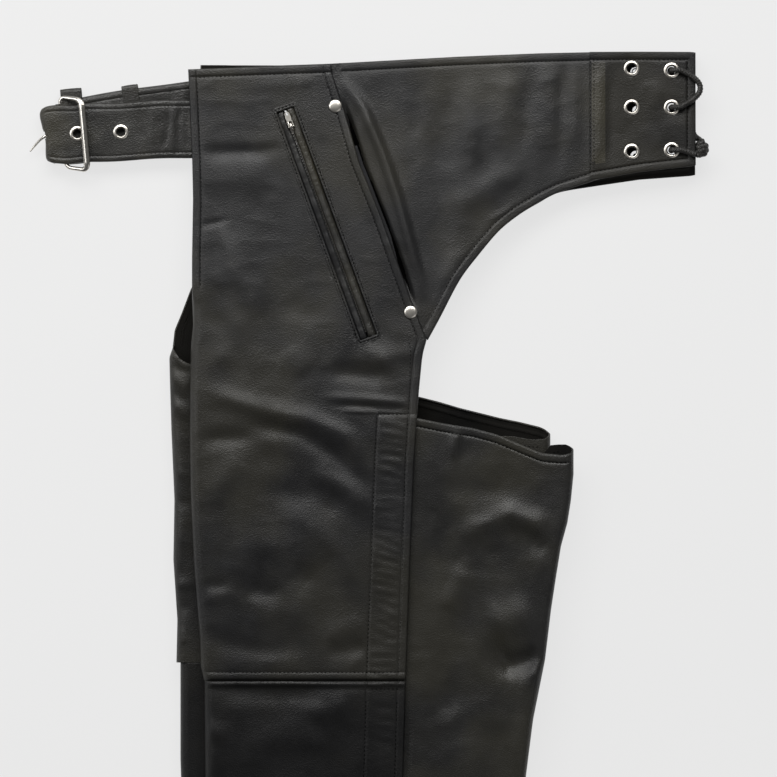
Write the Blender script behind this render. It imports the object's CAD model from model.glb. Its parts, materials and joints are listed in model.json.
import bpy, json, math
import numpy as np
from mathutils import Vector
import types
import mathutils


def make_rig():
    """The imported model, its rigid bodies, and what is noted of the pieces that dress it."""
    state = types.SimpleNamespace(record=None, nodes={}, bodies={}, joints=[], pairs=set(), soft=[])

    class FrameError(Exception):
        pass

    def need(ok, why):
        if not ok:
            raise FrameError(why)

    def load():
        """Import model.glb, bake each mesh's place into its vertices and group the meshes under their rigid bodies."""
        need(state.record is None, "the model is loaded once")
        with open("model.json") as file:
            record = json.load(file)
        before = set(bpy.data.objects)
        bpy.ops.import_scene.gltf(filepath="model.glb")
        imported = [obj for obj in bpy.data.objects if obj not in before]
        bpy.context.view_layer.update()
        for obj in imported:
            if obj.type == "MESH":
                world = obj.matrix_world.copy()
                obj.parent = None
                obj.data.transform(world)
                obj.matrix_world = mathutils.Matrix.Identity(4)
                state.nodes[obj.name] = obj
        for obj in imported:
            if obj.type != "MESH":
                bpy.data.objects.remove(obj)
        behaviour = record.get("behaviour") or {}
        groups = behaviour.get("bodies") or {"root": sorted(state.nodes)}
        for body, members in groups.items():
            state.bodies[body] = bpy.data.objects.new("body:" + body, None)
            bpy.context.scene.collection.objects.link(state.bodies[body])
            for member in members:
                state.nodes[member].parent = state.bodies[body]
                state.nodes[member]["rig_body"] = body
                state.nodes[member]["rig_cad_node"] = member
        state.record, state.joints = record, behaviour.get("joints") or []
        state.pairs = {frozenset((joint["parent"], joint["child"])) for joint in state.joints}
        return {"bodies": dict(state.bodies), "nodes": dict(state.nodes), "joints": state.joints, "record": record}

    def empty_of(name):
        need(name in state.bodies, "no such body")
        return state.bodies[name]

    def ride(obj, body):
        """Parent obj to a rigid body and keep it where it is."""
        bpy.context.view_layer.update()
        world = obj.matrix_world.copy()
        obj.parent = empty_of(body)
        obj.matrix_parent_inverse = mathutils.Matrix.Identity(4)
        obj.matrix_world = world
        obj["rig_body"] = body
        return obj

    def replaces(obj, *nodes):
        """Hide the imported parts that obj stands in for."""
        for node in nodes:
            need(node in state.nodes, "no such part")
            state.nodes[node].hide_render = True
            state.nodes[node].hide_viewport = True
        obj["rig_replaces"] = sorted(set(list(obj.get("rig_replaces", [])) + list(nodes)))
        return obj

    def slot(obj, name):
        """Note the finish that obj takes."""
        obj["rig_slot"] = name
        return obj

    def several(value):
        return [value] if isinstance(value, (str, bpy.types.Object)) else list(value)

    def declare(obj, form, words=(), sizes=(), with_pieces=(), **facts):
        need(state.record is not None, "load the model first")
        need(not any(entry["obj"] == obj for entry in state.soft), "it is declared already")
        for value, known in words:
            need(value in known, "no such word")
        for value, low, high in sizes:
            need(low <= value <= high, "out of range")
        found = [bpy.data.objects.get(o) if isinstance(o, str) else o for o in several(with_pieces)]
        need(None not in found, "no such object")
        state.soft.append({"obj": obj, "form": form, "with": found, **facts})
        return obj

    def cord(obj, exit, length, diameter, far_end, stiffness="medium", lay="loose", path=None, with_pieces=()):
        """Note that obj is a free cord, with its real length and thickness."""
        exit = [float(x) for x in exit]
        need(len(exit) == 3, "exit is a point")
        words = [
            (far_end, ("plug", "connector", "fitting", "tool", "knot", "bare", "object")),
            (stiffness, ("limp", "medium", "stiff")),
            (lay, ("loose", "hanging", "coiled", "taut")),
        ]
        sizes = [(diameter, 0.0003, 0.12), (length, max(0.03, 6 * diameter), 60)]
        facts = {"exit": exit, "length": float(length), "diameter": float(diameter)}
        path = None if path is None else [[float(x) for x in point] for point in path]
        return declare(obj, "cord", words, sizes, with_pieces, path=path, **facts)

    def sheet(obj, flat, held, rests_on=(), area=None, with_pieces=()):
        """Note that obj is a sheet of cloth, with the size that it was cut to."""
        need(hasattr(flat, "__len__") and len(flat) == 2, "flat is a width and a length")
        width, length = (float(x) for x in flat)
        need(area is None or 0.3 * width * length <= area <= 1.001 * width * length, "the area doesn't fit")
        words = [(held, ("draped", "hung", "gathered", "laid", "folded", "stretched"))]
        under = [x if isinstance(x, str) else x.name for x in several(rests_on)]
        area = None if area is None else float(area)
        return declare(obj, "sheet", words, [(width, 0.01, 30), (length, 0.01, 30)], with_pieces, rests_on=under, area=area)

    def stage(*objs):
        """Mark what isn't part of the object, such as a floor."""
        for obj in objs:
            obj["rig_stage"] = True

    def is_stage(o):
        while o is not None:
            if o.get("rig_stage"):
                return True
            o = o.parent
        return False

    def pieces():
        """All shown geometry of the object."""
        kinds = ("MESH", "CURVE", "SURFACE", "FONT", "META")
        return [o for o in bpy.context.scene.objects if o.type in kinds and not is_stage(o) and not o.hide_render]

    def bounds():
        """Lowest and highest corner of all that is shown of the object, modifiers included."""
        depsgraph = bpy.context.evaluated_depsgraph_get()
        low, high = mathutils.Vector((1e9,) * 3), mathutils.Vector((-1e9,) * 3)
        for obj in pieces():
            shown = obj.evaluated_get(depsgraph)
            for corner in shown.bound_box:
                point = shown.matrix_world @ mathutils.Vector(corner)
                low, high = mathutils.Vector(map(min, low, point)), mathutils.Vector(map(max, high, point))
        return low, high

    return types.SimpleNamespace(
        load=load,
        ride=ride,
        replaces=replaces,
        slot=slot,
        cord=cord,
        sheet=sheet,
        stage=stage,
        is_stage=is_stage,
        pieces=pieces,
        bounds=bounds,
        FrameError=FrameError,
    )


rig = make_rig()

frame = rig.load()
CAD_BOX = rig.bounds()
MM = 0.001
ZM = 14.8                 # mid-level between the two halves, as in the CAD
TOP = 29.6                # top of the upper leg
SLOPE = math.tan(math.radians(3.5))
NODES = frame["nodes"]

# ------------------------------------------------------------------ camera
cam_d = bpy.data.cameras.new("cam")
cam = bpy.data.objects.new("cam", cam_d)
bpy.context.scene.collection.objects.link(cam)
cam_d.type = "PERSP"
cam_d.sensor_width = 36
CAM_H = 6.0
cam_d.lens = 36 * (CAM_H - 0.02) / 0.58275
cam_d.clip_start, cam_d.clip_end = 0.1, 50
cam.location = (0.0154, 0.2726, CAM_H)
cam.rotation_euler = (0, 0, 0)
bpy.context.scene.camera = cam

# ------------------------------------------------------------------ materials
def mat_new(name):
    m = bpy.data.materials.new(name)
    m.use_nodes = True
    nt = m.node_tree
    b = nt.nodes["Principled BSDF"]
    return m, nt, b

def link(nt, a, b):
    nt.links.new(a, b)

def tex_coord(nt):
    return nt.nodes.new("ShaderNodeTexCoord").outputs["Object"]

def noise(nt, vec, scale, detail=3, rough=0.55, dist=0.0):
    n = nt.nodes.new("ShaderNodeTexNoise")
    n.inputs["Scale"].default_value = scale
    n.inputs["Detail"].default_value = detail
    n.inputs["Roughness"].default_value = rough
    n.inputs["Distortion"].default_value = dist
    link(nt, vec, n.inputs["Vector"])
    return n.outputs["Fac"]

def ramp(nt, fac, stops):
    r = nt.nodes.new("ShaderNodeValToRGB")
    el = r.color_ramp.elements
    while len(el) > 1:
        el.remove(el[-1])
    el[0].position, el[0].color = stops[0][0], (*stops[0][1], 1)
    for p, c in stops[1:]:
        e = el.new(p)
        e.color = (*c, 1)
    link(nt, fac, r.inputs["Fac"])
    return r.outputs["Color"]

def math_n(nt, op, a, b=None, v=None):
    n = nt.nodes.new("ShaderNodeMath")
    n.operation = op
    link(nt, a, n.inputs[0])
    if b is not None:
        link(nt, b, n.inputs[1])
    elif v is not None:
        n.inputs[1].default_value = v
    return n.outputs[0]

def bump(nt, b, height, strength, dist, prev=None):
    n = nt.nodes.new("ShaderNodeBump")
    n.inputs["Strength"].default_value = strength
    n.inputs["Distance"].default_value = dist
    link(nt, height, n.inputs["Height"])
    if prev is not None:
        link(nt, prev, n.inputs["Normal"])
    return n.outputs["Normal"]

def leather(name, dark, light, olive, rough=0.42, grain=1.0, pebble=1050, spec=0.5, crease=0.06):
    m, nt, b = mat_new(name)
    co = tex_coord(nt)
    big = noise(nt, co, 11, 3, 0.5)
    mid = noise(nt, co, 46, 4, 0.6)
    c1 = ramp(nt, mid, [(0.3, dark), (0.62, light)])
    mask = ramp(nt, big, [(0.44, (0, 0, 0)), (0.6, (1, 1, 1))])
    mix = nt.nodes.new("ShaderNodeMix")
    mix.data_type = "RGBA"
    link(nt, mask, mix.inputs[0])
    link(nt, c1, mix.inputs[6])
    mix.inputs[7].default_value = (*olive, 1)
    # pebbled grain: rounded cells with fine creases between them
    vor = nt.nodes.new("ShaderNodeTexVoronoi")
    vor.feature = "SMOOTH_F1"
    vor.inputs["Scale"].default_value = pebble
    vor.inputs["Smoothness"].default_value = 0.35
    vor.inputs["Randomness"].default_value = 0.95
    wob = nt.nodes.new("ShaderNodeVectorMath")
    wob.operation = "ADD"
    wn = nt.nodes.new("ShaderNodeTexNoise")
    wn.inputs["Scale"].default_value = 190
    link(nt, co, wn.inputs["Vector"])
    sc = nt.nodes.new("ShaderNodeVectorMath")
    sc.operation = "SCALE"
    sc.inputs[3].default_value = 0.0016
    link(nt, wn.outputs["Color"], sc.inputs[0])
    link(nt, co, wob.inputs[0])
    link(nt, sc.outputs[0], wob.inputs[1])
    link(nt, wob.outputs[0], vor.inputs["Vector"])
    pores = noise(nt, co, 2600, 2, 0.6)
    creases = noise(nt, co, 120, 4, 0.6, 0.3)
    n1 = bump(nt, b, creases, crease, 0.0012)
    n2 = bump(nt, b, vor.outputs["Distance"], 0.55 * grain, 0.00034, n1)
    n3 = bump(nt, b, pores, 0.3 * grain, 0.00008, n2)
    link(nt, n3, b.inputs["Normal"])
    # grain tops are a little lighter where the leather is rubbed
    link(nt, mix.outputs[2], b.inputs["Base Color"])
    r1 = noise(nt, co, 30, 4, 0.6)
    rr = nt.nodes.new("ShaderNodeMapRange")
    rr.inputs["From Min"].default_value = 0.3
    rr.inputs["From Max"].default_value = 0.7
    rr.inputs["To Min"].default_value = rough - 0.07
    rr.inputs["To Max"].default_value = rough + 0.08
    link(nt, r1, rr.inputs["Value"])
    link(nt, rr.outputs[0], b.inputs["Roughness"])
    b.inputs["Specular IOR Level"].default_value = spec
    b.inputs["IOR"].default_value = 1.45
    return m

def metal(name, col, rough=0.22, scratch=0.5):
    m, nt, b = mat_new(name)
    co = tex_coord(nt)
    n = noise(nt, co, 260, 3, 0.55)
    c = ramp(nt, n, [(0.3, tuple(v * 0.9 for v in col)), (0.6, col)])
    link(nt, c, b.inputs["Base Color"])
    b.inputs["Metallic"].default_value = 1.0
    rr = nt.nodes.new("ShaderNodeMapRange")
    rr.inputs["To Min"].default_value = rough - 0.03
    rr.inputs["To Max"].default_value = rough + 0.07
    link(nt, noise(nt, co, 420, 3, 0.6), rr.inputs["Value"])
    link(nt, rr.outputs[0], b.inputs["Roughness"])
    st = nt.nodes.new("ShaderNodeMapping")
    st.inputs["Scale"].default_value = (1.0, 14.0, 1.0)
    link(nt, co, st.inputs["Vector"])
    sn = noise(nt, st.outputs[0], 700, 2, 0.5)
    link(nt, bump(nt, b, sn, 0.12 * scratch, 0.0001), b.inputs["Normal"])
    return m

def fabric(name, c0, c1, scale=900, rough=0.8, angle=0.0):
    m, nt, b = mat_new(name)
    co = tex_coord(nt)
    mp = nt.nodes.new("ShaderNodeMapping")
    mp.inputs["Rotation"].default_value = (0, 0, angle)
    link(nt, co, mp.inputs["Vector"])
    hs = []
    for axis in ("X", "Y"):
        w = nt.nodes.new("ShaderNodeTexWave")
        w.wave_type = "BANDS"
        w.bands_direction = axis
        w.inputs["Scale"].default_value = scale
        w.inputs["Distortion"].default_value = 0.6
        link(nt, mp.outputs[0], w.inputs["Vector"])
        hs.append(w.outputs["Fac"])
    h = math_n(nt, "MULTIPLY", hs[0], hs[1])
    link(nt, ramp(nt, h, [(0.1, c0), (0.8, c1)]), b.inputs["Base Color"])
    link(nt, bump(nt, b, h, 0.6, 0.0002), b.inputs["Normal"])
    b.inputs["Roughness"].default_value = rough
    b.inputs["Sheen Weight"].default_value = 0.2
    return m

def cordmat(name, c0, c1, rough, spec):
    m, nt, b = mat_new(name)
    co = tex_coord(nt)
    n = noise(nt, co, 700, 4, 0.6)
    link(nt, ramp(nt, n, [(0.35, c0), (0.7, c1)]), b.inputs["Base Color"])
    w = nt.nodes.new("ShaderNodeTexWave")
    w.bands_direction = "DIAGONAL"
    w.inputs["Scale"].default_value = 330
    w.inputs["Distortion"].default_value = 2.5
    w.inputs["Detail Scale"].default_value = 3.0
    link(nt, co, w.inputs["Vector"])
    n1 = bump(nt, b, w.outputs["Fac"], 0.7, 0.0004)
    link(nt, bump(nt, b, n, 0.4, 0.0003, n1), b.inputs["Normal"])
    b.inputs["Roughness"].default_value = rough
    b.inputs["Specular IOR Level"].default_value = spec
    return m

M_LEG = leather("m_leg_leather", (0.0058, 0.0058, 0.0062), (0.0115, 0.0115, 0.0121), (0.019, 0.0178, 0.0138), 0.455, 1.1, 1050, 0.46)
M_LOW = leather("m_lower_leather", (0.003, 0.003, 0.0033), (0.0055, 0.0055, 0.0059), (0.0075, 0.0072, 0.0062), 0.46, 1.0, 1050, 0.4)
M_BACK = leather("m_back_leather", (0.0078, 0.0076, 0.0074), (0.015, 0.0147, 0.0138), (0.0225, 0.021, 0.0155), 0.44)
M_YOKE = leather("m_yoke_leather", (0.0085, 0.0085, 0.009), (0.0148, 0.0148, 0.0152), (0.0225, 0.021, 0.0165), 0.45, 1.1, 1050, 0.44)
M_TAB = leather("m_tab_leather", (0.0045, 0.0045, 0.005), (0.0085, 0.0085, 0.009), (0.015, 0.0138, 0.0105), 0.43, 0.9, 1050, 0.36)
M_BELT = leather("m_belt_leather", (0.0105, 0.0103, 0.0098), (0.0235, 0.0228, 0.0208), (0.041, 0.0375, 0.026), 0.4, 1.4, 950, 0.5, 0.1)
M_WELT = leather("m_welt_leather", (0.009, 0.0088, 0.008), (0.017, 0.0162, 0.014), (0.03, 0.027, 0.0175), 0.42, 1.2, 900, 0.5, 0.1)
M_LIP = leather("m_lip_leather", (0.006, 0.006, 0.0065), (0.0105, 0.0105, 0.0112), (0.014, 0.0137, 0.0125), 0.36, 0.7)
M_INNER = leather("m_suede_side", (0.0022, 0.0022, 0.0021), (0.0062, 0.0059, 0.0054), (0.008, 0.0075, 0.0064), 0.85, 0.8, 900, 0.12)
M_GAP = fabric("m_slash_gap", (0.0005, 0.0005, 0.0005), (0.0012, 0.0012, 0.0012), 900, 0.95)
for node in M_GAP.node_tree.nodes:
    if node.type == "BSDF_PRINCIPLED":
        node.inputs["Sheen Weight"].default_value = 0.0
        node.inputs["Specular IOR Level"].default_value = 0.06
M_THREAD = cordmat("m_thread", (0.003, 0.003, 0.003), (0.006, 0.006, 0.006), 0.95, 0.04)
M_LACE = cordmat("m_lace", (0.0075, 0.0072, 0.0068), (0.02, 0.0185, 0.016), 0.5, 0.5)
M_NICKEL = metal("m_nickel", (0.74, 0.705, 0.645), 0.3, 0.2)
M_STEEL = metal("m_steel", (0.72, 0.69, 0.64), 0.2, 0.08)
M_SHADE = metal("m_nickel_shaded", (0.06, 0.057, 0.053), 0.5, 0.2)
M_PULL = metal("m_pull_nickel", (0.62, 0.6, 0.55), 0.36, 0.0)
M_BARREL = metal("m_barrel", (0.035, 0.033, 0.03), 0.5)
M_TEETH = metal("m_zip_teeth", (0.42, 0.41, 0.39), 0.3)
M_TAPE = fabric("m_zip_tape", (0.006, 0.006, 0.006), (0.02, 0.02, 0.02), 1100)
M_LINING = fabric("m_lining", (0.012, 0.012, 0.014), (0.03, 0.03, 0.034), 600)

# ------------------------------------------------------------------ noise on arrays
def vnoise(x, y, wl, seed):
    """Smooth value noise in -1..1 with wavelength wl."""
    r = np.random.RandomState(seed).rand(64, 64) * 2 - 1
    u, v = x / wl + 1000, y / wl + 1000
    iu, iv = np.floor(u).astype(int), np.floor(v).astype(int)
    fu, fv = u - iu, v - iv
    fu, fv = fu * fu * (3 - 2 * fu), fv * fv * (3 - 2 * fv)
    g = lambda a, b: r[a % 64, b % 64]
    return (g(iu, iv) * (1 - fu) * (1 - fv) + g(iu + 1, iv) * fu * (1 - fv)
            + g(iu, iv + 1) * (1 - fu) * fv + g(iu + 1, iv + 1) * fu * fv)

def seg_d(x, y, a, b):
    """distance to segment a-b and the place along it, 0..1 (clamped)"""
    ax, ay = a; bx, by = b
    dx, dy = bx - ax, by - ay
    t = np.clip(((x - ax) * dx + (y - ay) * dy) / (dx * dx + dy * dy + 1e-9), 0, 1)
    return np.hypot(x - ax - t * dx, y - ay - t * dy), t

def poly_d(x, y, pts):
    """distance to a polyline, and how far along it that is, 0..1"""
    L = [0.0]
    for a, b in zip(pts[:-1], pts[1:]):
        L.append(L[-1] + math.hypot(b[0] - a[0], b[1] - a[1]))
    best = np.full(np.shape(x), 1e9); along = np.zeros(np.shape(x))
    for i, (a, b) in enumerate(zip(pts[:-1], pts[1:])):
        d, t = seg_d(x, y, a, b)
        m = d < best
        best = np.where(m, d, best)
        along = np.where(m, (L[i] + t * (L[i + 1] - L[i])) / L[-1], along)
    return best, along

def folds(x, y, table):
    """sum of soft ridges and valleys; each is (points, width, height)"""
    h = np.zeros(np.shape(x))
    for pts, w, a in table:
        d, t = poly_d(x, y, pts)
        taper = np.clip(np.minimum(t, 1 - t) * 4 + 0.25, 0, 1)
        h += a * np.exp(-(d / w) ** 2) * taper
    return h

def hem(d, w=6.5, b=0.55, g=0.55, roll=1.3):
    """profile in from a folded edge: rolled edge, raised hem, groove under the stitching"""
    h = np.zeros(np.shape(d))
    t = np.clip(d / w, 0, 1)
    h += b * (1 - (2 * t - 1) ** 4) * (d < w)
    h -= g * np.exp(-((d - w) / 0.75) ** 2)
    r = np.clip(1 - d / roll, 0, 1)
    h -= roll * (1 - np.sqrt(np.clip(1 - r * r, 0, 1))) * 0.9
    return h

def interp(t, table):
    a = np.array(sorted(table))
    # smooth the corners of a hand-written table
    return np.interp(t, a[:, 0], a[:, 1])

def smooth_table(table, n=3):
    a = np.array(sorted(table), float)
    ys = np.linspace(a[0, 0], a[-1, 0], 240)
    v = np.interp(ys, a[:, 0], a[:, 1])
    k = np.ones(2 * n + 1) / (2 * n + 1)
    p = np.pad(v, n, mode="edge")
    s = np.convolve(p, k, "valid")
    s[0], s[-1] = v[0], v[-1]
    return np.stack([ys, s], 1)

# ------------------------------------------------------------------ mesh building
def make(name, verts, faces, mat, body="garment", replaces=(), slot=None, smooth=True):
    me = bpy.data.meshes.new(name)
    me.from_pydata((np.asarray(verts, float) * MM).tolist(), [], [tuple(int(i) for i in f) for f in faces])
    me.update()
    me.validate()
    if smooth:
        me.polygons.foreach_set("use_smooth", [True] * len(me.polygons))
    me.materials.append(mat)
    if mat in (M_LEG, M_LOW, M_BACK) and len(me.polygons) == len(faces):
        # the flesh side of the leather is dark and matt
        me.materials.append(M_INNER)
        for k in range(shell.n, 2 * shell.n):
            me.polygons[k].material_index = 1
    ob = bpy.data.objects.new(name, me)
    bpy.context.scene.collection.objects.link(ob)
    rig.ride(ob, body)
    if replaces:
        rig.replaces(ob, *replaces)
    if slot:
        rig.slot(ob, slot)
    return ob

def grid_faces(nu, nv, keep=None, base=0):
    """faces of a grid stored as index = i*nv + j; keep is a (nu-1, nv-1) mask"""
    i, j = np.meshgrid(np.arange(nu - 1), np.arange(nv - 1), indexing="ij")
    if keep is not None:
        i, j = i[keep], j[keep]
    i, j = i.ravel(), j.ravel()
    a = i * nv + j
    return np.stack([a, a + nv, a + nv + 1, a + 1], 1) + base

def normals(V, F):
    n = np.zeros_like(V)
    a, b, c, d = (V[F[:, k]] for k in range(4))
    fn = np.cross(c - a, d - b)
    for k in range(4):
        np.add.at(n, F[:, k], fn)
    return n / (np.linalg.norm(n, axis=1, keepdims=True) + 1e-12)

def shell(V, F, t, up=True):
    """closed leather from a surface: V are the outer points, t the thickness away from the outside"""
    V = np.asarray(V, float); F = np.asarray(F)
    used = np.unique(F)
    idx = -np.ones(len(V), int); idx[used] = np.arange(len(used))
    V, F = V[used], idx[F]
    n = normals(V, F)
    W = V - n * (t[used][:, None] if hasattr(t, "__len__") else t)
    N = len(V)
    e = np.concatenate([F[:, [0, 1]], F[:, [1, 2]], F[:, [2, 3]], F[:, [3, 0]]])
    key = np.sort(e, 1)
    _, inv, cnt = np.unique(key, axis=0, return_inverse=True, return_counts=True)
    inv = inv.ravel()
    rim = e[cnt[inv] == 1]
    rimf = np.stack([rim[:, 1], rim[:, 0], rim[:, 0] + N, rim[:, 1] + N], 1)
    shell.n = len(F)
    return np.concatenate([V, W]), np.concatenate([F, F[:, ::-1] + N, rimf])

class Side:
    """maps the upper half's heights to the half that a piece belongs to"""
    def __init__(self, s):
        self.s, self.n = s, ("left", "right")[s]
    def fix(self, V, F):
        if self.s == 0:
            return V, F
        # the under half rests on the table
        V = V.copy(); V[:, 2] = np.maximum(2 * ZM - V[:, 2], 0.1)
        return V, F[:, ::-1]

STITCHES = {}
def stitch(body_key, P, pitch=3.1, length=2.1, r=0.3, up=None, sink=0.18):
    """thread along P (n x 3, mm): one small rounded stitch each pitch"""
    P = np.array(P, float)
    P[:, 2] = np.maximum(P[:, 2], 0.15)
    d = np.linalg.norm(np.diff(P, axis=0), axis=1)
    L = np.concatenate([[0], np.cumsum(d)])
    n = int(L[-1] // pitch)
    if n < 1:
        return
    store = STITCHES.setdefault(body_key, [])
    upv = np.array([0, 0, 1.0]) if up is None else np.array(up, float)
    for k in range(n):
        s0 = (k + 0.5) * pitch + (L[-1] - n * pitch) / 2 - length / 2
        s1 = s0 + length
        a = np.array([np.interp(s0, L, P[:, i]) for i in range(3)])
        b = np.array([np.interp(s1, L, P[:, i]) for i in range(3)])
        store.append((a - upv * sink, b - upv * sink, r, upv))

def build_stitches(key, name, body, slot=None, mat=None):
    V, F = [], []
    prof = [(0.0, -0.55), (0.16, 0.25), (0.5, 0.42), (0.84, 0.25), (1.0, -0.55)]
    for a, b, r, upv in STITCHES.get(key, []):
        t = b - a
        ln = np.linalg.norm(t)
        if ln < 1e-6:
            continue
        t = t / ln
        side = np.cross(upv, t); side /= np.linalg.norm(side) + 1e-9
        up = np.cross(t, side)
        base = len(V)
        for f, h in prof:
            c = a + (b - a) * f
            w = r * (0.45 if f in (0.0, 1.0) else 1.0)
            V += [c + side * w - up * 0.3, c + side * w * 0.7 + up * (h), c - side * w * 0.7 + up * (h), c - side * w - up * 0.3]
        m = len(prof)
        for i in range(m - 1):
            for j in range(3):
                p = base + i * 4 + j
                F.append([p, p + 1, p + 5, p + 4])
    if not V:
        return None
    return make(name, V, F, mat or M_THREAD, body, (), slot)

def cat(points, n):
    """smooth curve through points (Catmull-Rom), n steps between points"""
    P = np.asarray(points, float)
    Q = np.concatenate([[2 * P[0] - P[1]], P, [2 * P[-1] - P[-2]]])
    out = []
    for i in range(1, len(Q) - 2):
        for k in range(n):
            t = k / n
            a, b, c, d = Q[i - 1], Q[i], Q[i + 1], Q[i + 2]
            out.append(0.5 * ((2 * b) + (c - a) * t + (2 * a - 5 * b + 4 * c - d) * t * t + (3 * b - a - 3 * c + d) * t ** 3))
    out.append(P[-1])
    return np.array(out)

def sweep(P, R, nseg=16, closed=False, flat=None, cap=True, up0=(0, 0, 1), ripple=None):
    """tube along P; R radius per point; flat = (width factor, height factor)"""
    P = np.asarray(P, float); m = len(P)
    R = np.full(m, R) if np.isscalar(R) else np.asarray(R, float)
    if closed:
        T = np.roll(P, -1, 0) - np.roll(P, 1, 0)
    else:
        T = np.gradient(P, axis=0)
    T /= np.linalg.norm(T, axis=1, keepdims=True) + 1e-12
    u = np.array(up0, float)
    frames = []
    for t in T:
        u = u - t * np.dot(u, t)
        if np.linalg.norm(u) < 1e-4:
            u = np.cross(t, [1, 0, 0])
        u /= np.linalg.norm(u)
        frames.append((u, np.cross(t, u)))
    fw = flat or (1, 1)
    V = []
    for i in range(m):
        a, b = frames[i]
        for k in range(nseg):
            th = 2 * math.pi * k / nseg
            rr = R[i] * (1 if ripple is None else 1 + ripple(i, k / nseg))
            V.append(P[i] + rr * (math.cos(th) * a * fw[1] + math.sin(th) * b * fw[0]))
    F = []
    for i in range(m if closed else m - 1):
        i2 = (i + 1) % m
        for k in range(nseg):
            k2 = (k + 1) % nseg
            F.append([i * nseg + k, i * nseg + k2, i2 * nseg + k2, i2 * nseg + k])
    if cap and not closed:
        for i, rev in ((0, True), (m - 1, False)):
            c = len(V); V.append(P[i])
            for k in range(nseg):
                k2 = (k + 1) % nseg
                F.append([i * nseg + k2, i * nseg + k, c] if rev else [i * nseg + k, i * nseg + k2, c])
    return np.array(V), F

def lathe(prof, centre, normal=(0, 0, 1), n=40, flip=False):
    """turned piece: prof is (radius, height) pairs"""
    nz = np.array(normal, float); nz /= np.linalg.norm(nz)
    a = np.cross([0, 1, 0], nz); a /= np.linalg.norm(a)
    b = np.cross(nz, a)
    V, F = [], []
    rows = []
    for r, h in prof:
        if r < 1e-6:
            rows.append([len(V)]); V.append(np.array(centre) + nz * h)
        else:
            rows.append(list(range(len(V), len(V) + n)))
            for k in range(n):
                th = 2 * math.pi * k / n
                V.append(np.array(centre) + nz * h + r * (math.cos(th) * a + math.sin(th) * b))
    for p, q in zip(rows[:-1], rows[1:]):
        for k in range(n):
            k2 = (k + 1) % n
            if len(p) == 1 and len(q) == 1:
                continue
            if len(p) == 1:
                F.append([p[0], q[k2], q[k]])
            elif len(q) == 1:
                F.append([p[k], p[k2], q[0]])
            else:
                F.append([p[k], p[k2], q[k2], q[k]])
    return V, F

def joined(parts):
    V, F = [], []
    for v, f in parts:
        b = len(V)
        V += list(v)
        F += [[i + b for i in g] for g in f]
    return V, F

def dense(a, b, step, near_a=(), near_b=(), extra=()):
    """positions from a to b with given distances packed at each end"""
    L = b - a
    lo = [d for d in near_a if d < L * 0.5]
    hi = [d for d in near_b if d < L * 0.5]
    s = lo[-1] if lo else 0
    e = L - (hi[-1] if hi else 0)
    n = max(1, int(round((e - s) / step)))
    v = [*lo] + list(np.linspace(s, e, n + 1)) + [L - d for d in hi]
    v = np.array(sorted(set(round(float(q), 4) for q in [0, L, *v])))
    v = np.concatenate([v + a, np.array(extra, float)])
    v = np.unique(np.round(v, 3))
    keep = np.concatenate([[True], np.diff(v) > 0.12])
    return v[keep]

EDGE = (0.3, 0.8, 1.5, 2.6, 4.0, 5.2, 5.8, 6.2, 6.5, 6.9, 7.4, 8.4)

# ------------------------------------------------------------------ surfaces
def T(table):
    return np.array(sorted(table), float)

def at(table, y):
    a = table if isinstance(table, np.ndarray) else T(table)
    return np.interp(y, a[:, 0], a[:, 1])

def spread(A, B, near_a, near_b, n_mid):
    """columns from A to B (arrays of points): set distances at the ends, even between"""
    d = B - A
    L = np.linalg.norm(d, axis=-1, keepdims=True)
    u = d / (L + 1e-9)
    na, nb = np.array(near_a, float), np.array(near_b, float)[::-1]
    a_end, b_end = na[-1], nb[0]
    mid = np.linspace(0, 1, n_mid + 2)[1:-1]
    cols = [A + u * k for k in na]
    cols += [A + u * (a_end + (L - a_end - b_end) * m) for m in mid]
    cols += [B - u * k for k in nb]
    return np.stack(cols, 1)

def surf(P, keep=None, flip=False):
    nu, nv = P.shape[:2]
    F = grid_faces(nu, nv, keep)
    return P.reshape(-1, 3), (F[:, ::-1] if flip else F)

def face_xy(P):
    c = (P[:-1, :-1] + P[1:, :-1] + P[:-1, 1:] + P[1:, 1:]) / 4
    return c[..., 0], c[..., 1]

def on_surface(P, path, lift=0.0):
    """z of a surface grid under a line of (x, y) points, at 0.8 mm steps"""
    path = np.asarray(path, float)
    d = np.hypot(*np.diff(path, axis=0).T)
    L = np.concatenate([[0], np.cumsum(d)])
    s = np.arange(0, L[-1], 0.8)
    q = np.stack([np.interp(s, L, path[:, 0]), np.interp(s, L, path[:, 1])], 1)
    V = P.reshape(-1, 3)
    z = np.zeros(len(q))
    for k in range(0, len(q), 200):
        dd = (q[k:k + 200, None, 0] - V[None, :, 0]) ** 2 + (q[k:k + 200, None, 1] - V[None, :, 1]) ** 2
        ix = np.argpartition(dd, 4, axis=1)[:, :4]
        w = 1 / (np.take_along_axis(dd, ix, 1) + 0.05)
        z[k:k + 200] = (V[ix, 2] * w).sum(1) / w.sum(1)
    return np.stack([q[:, 0], q[:, 1], z + lift], 1)

def keepoff(x, y, pts, r=9.0):
    k = np.ones(np.shape(x))
    for p in pts:
        k *= 1 - np.exp(-(((x - p[0]) ** 2 + (y - p[1]) ** 2) / r ** 2) ** 1.5)
    return k

def fine(x, y, seed, a=1.0):
    """soft unevenness of worn leather"""
    h = 0.62 * vnoise(x + 0.25 * y, y, 52, seed) + 0.33 * vnoise(x - 0.3 * y, y * 0.8, 27, seed + 1)
    r = 1 - np.abs(vnoise(x + 3 * vnoise(x, y, 30, seed + 5), y, 15, seed + 2))
    h += 0.26 * (r ** 3 - 0.3) + 0.1 * vnoise(x, y, 8.5, seed + 3)
    return a * h

def drop(y, s):
    """fall of the waist part towards the belt, on the upper leg only"""
    if s:
        return 0 * np.asarray(y, float)
    return np.where(y > 240, (y - 240) * SLOPE, 0)

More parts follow.
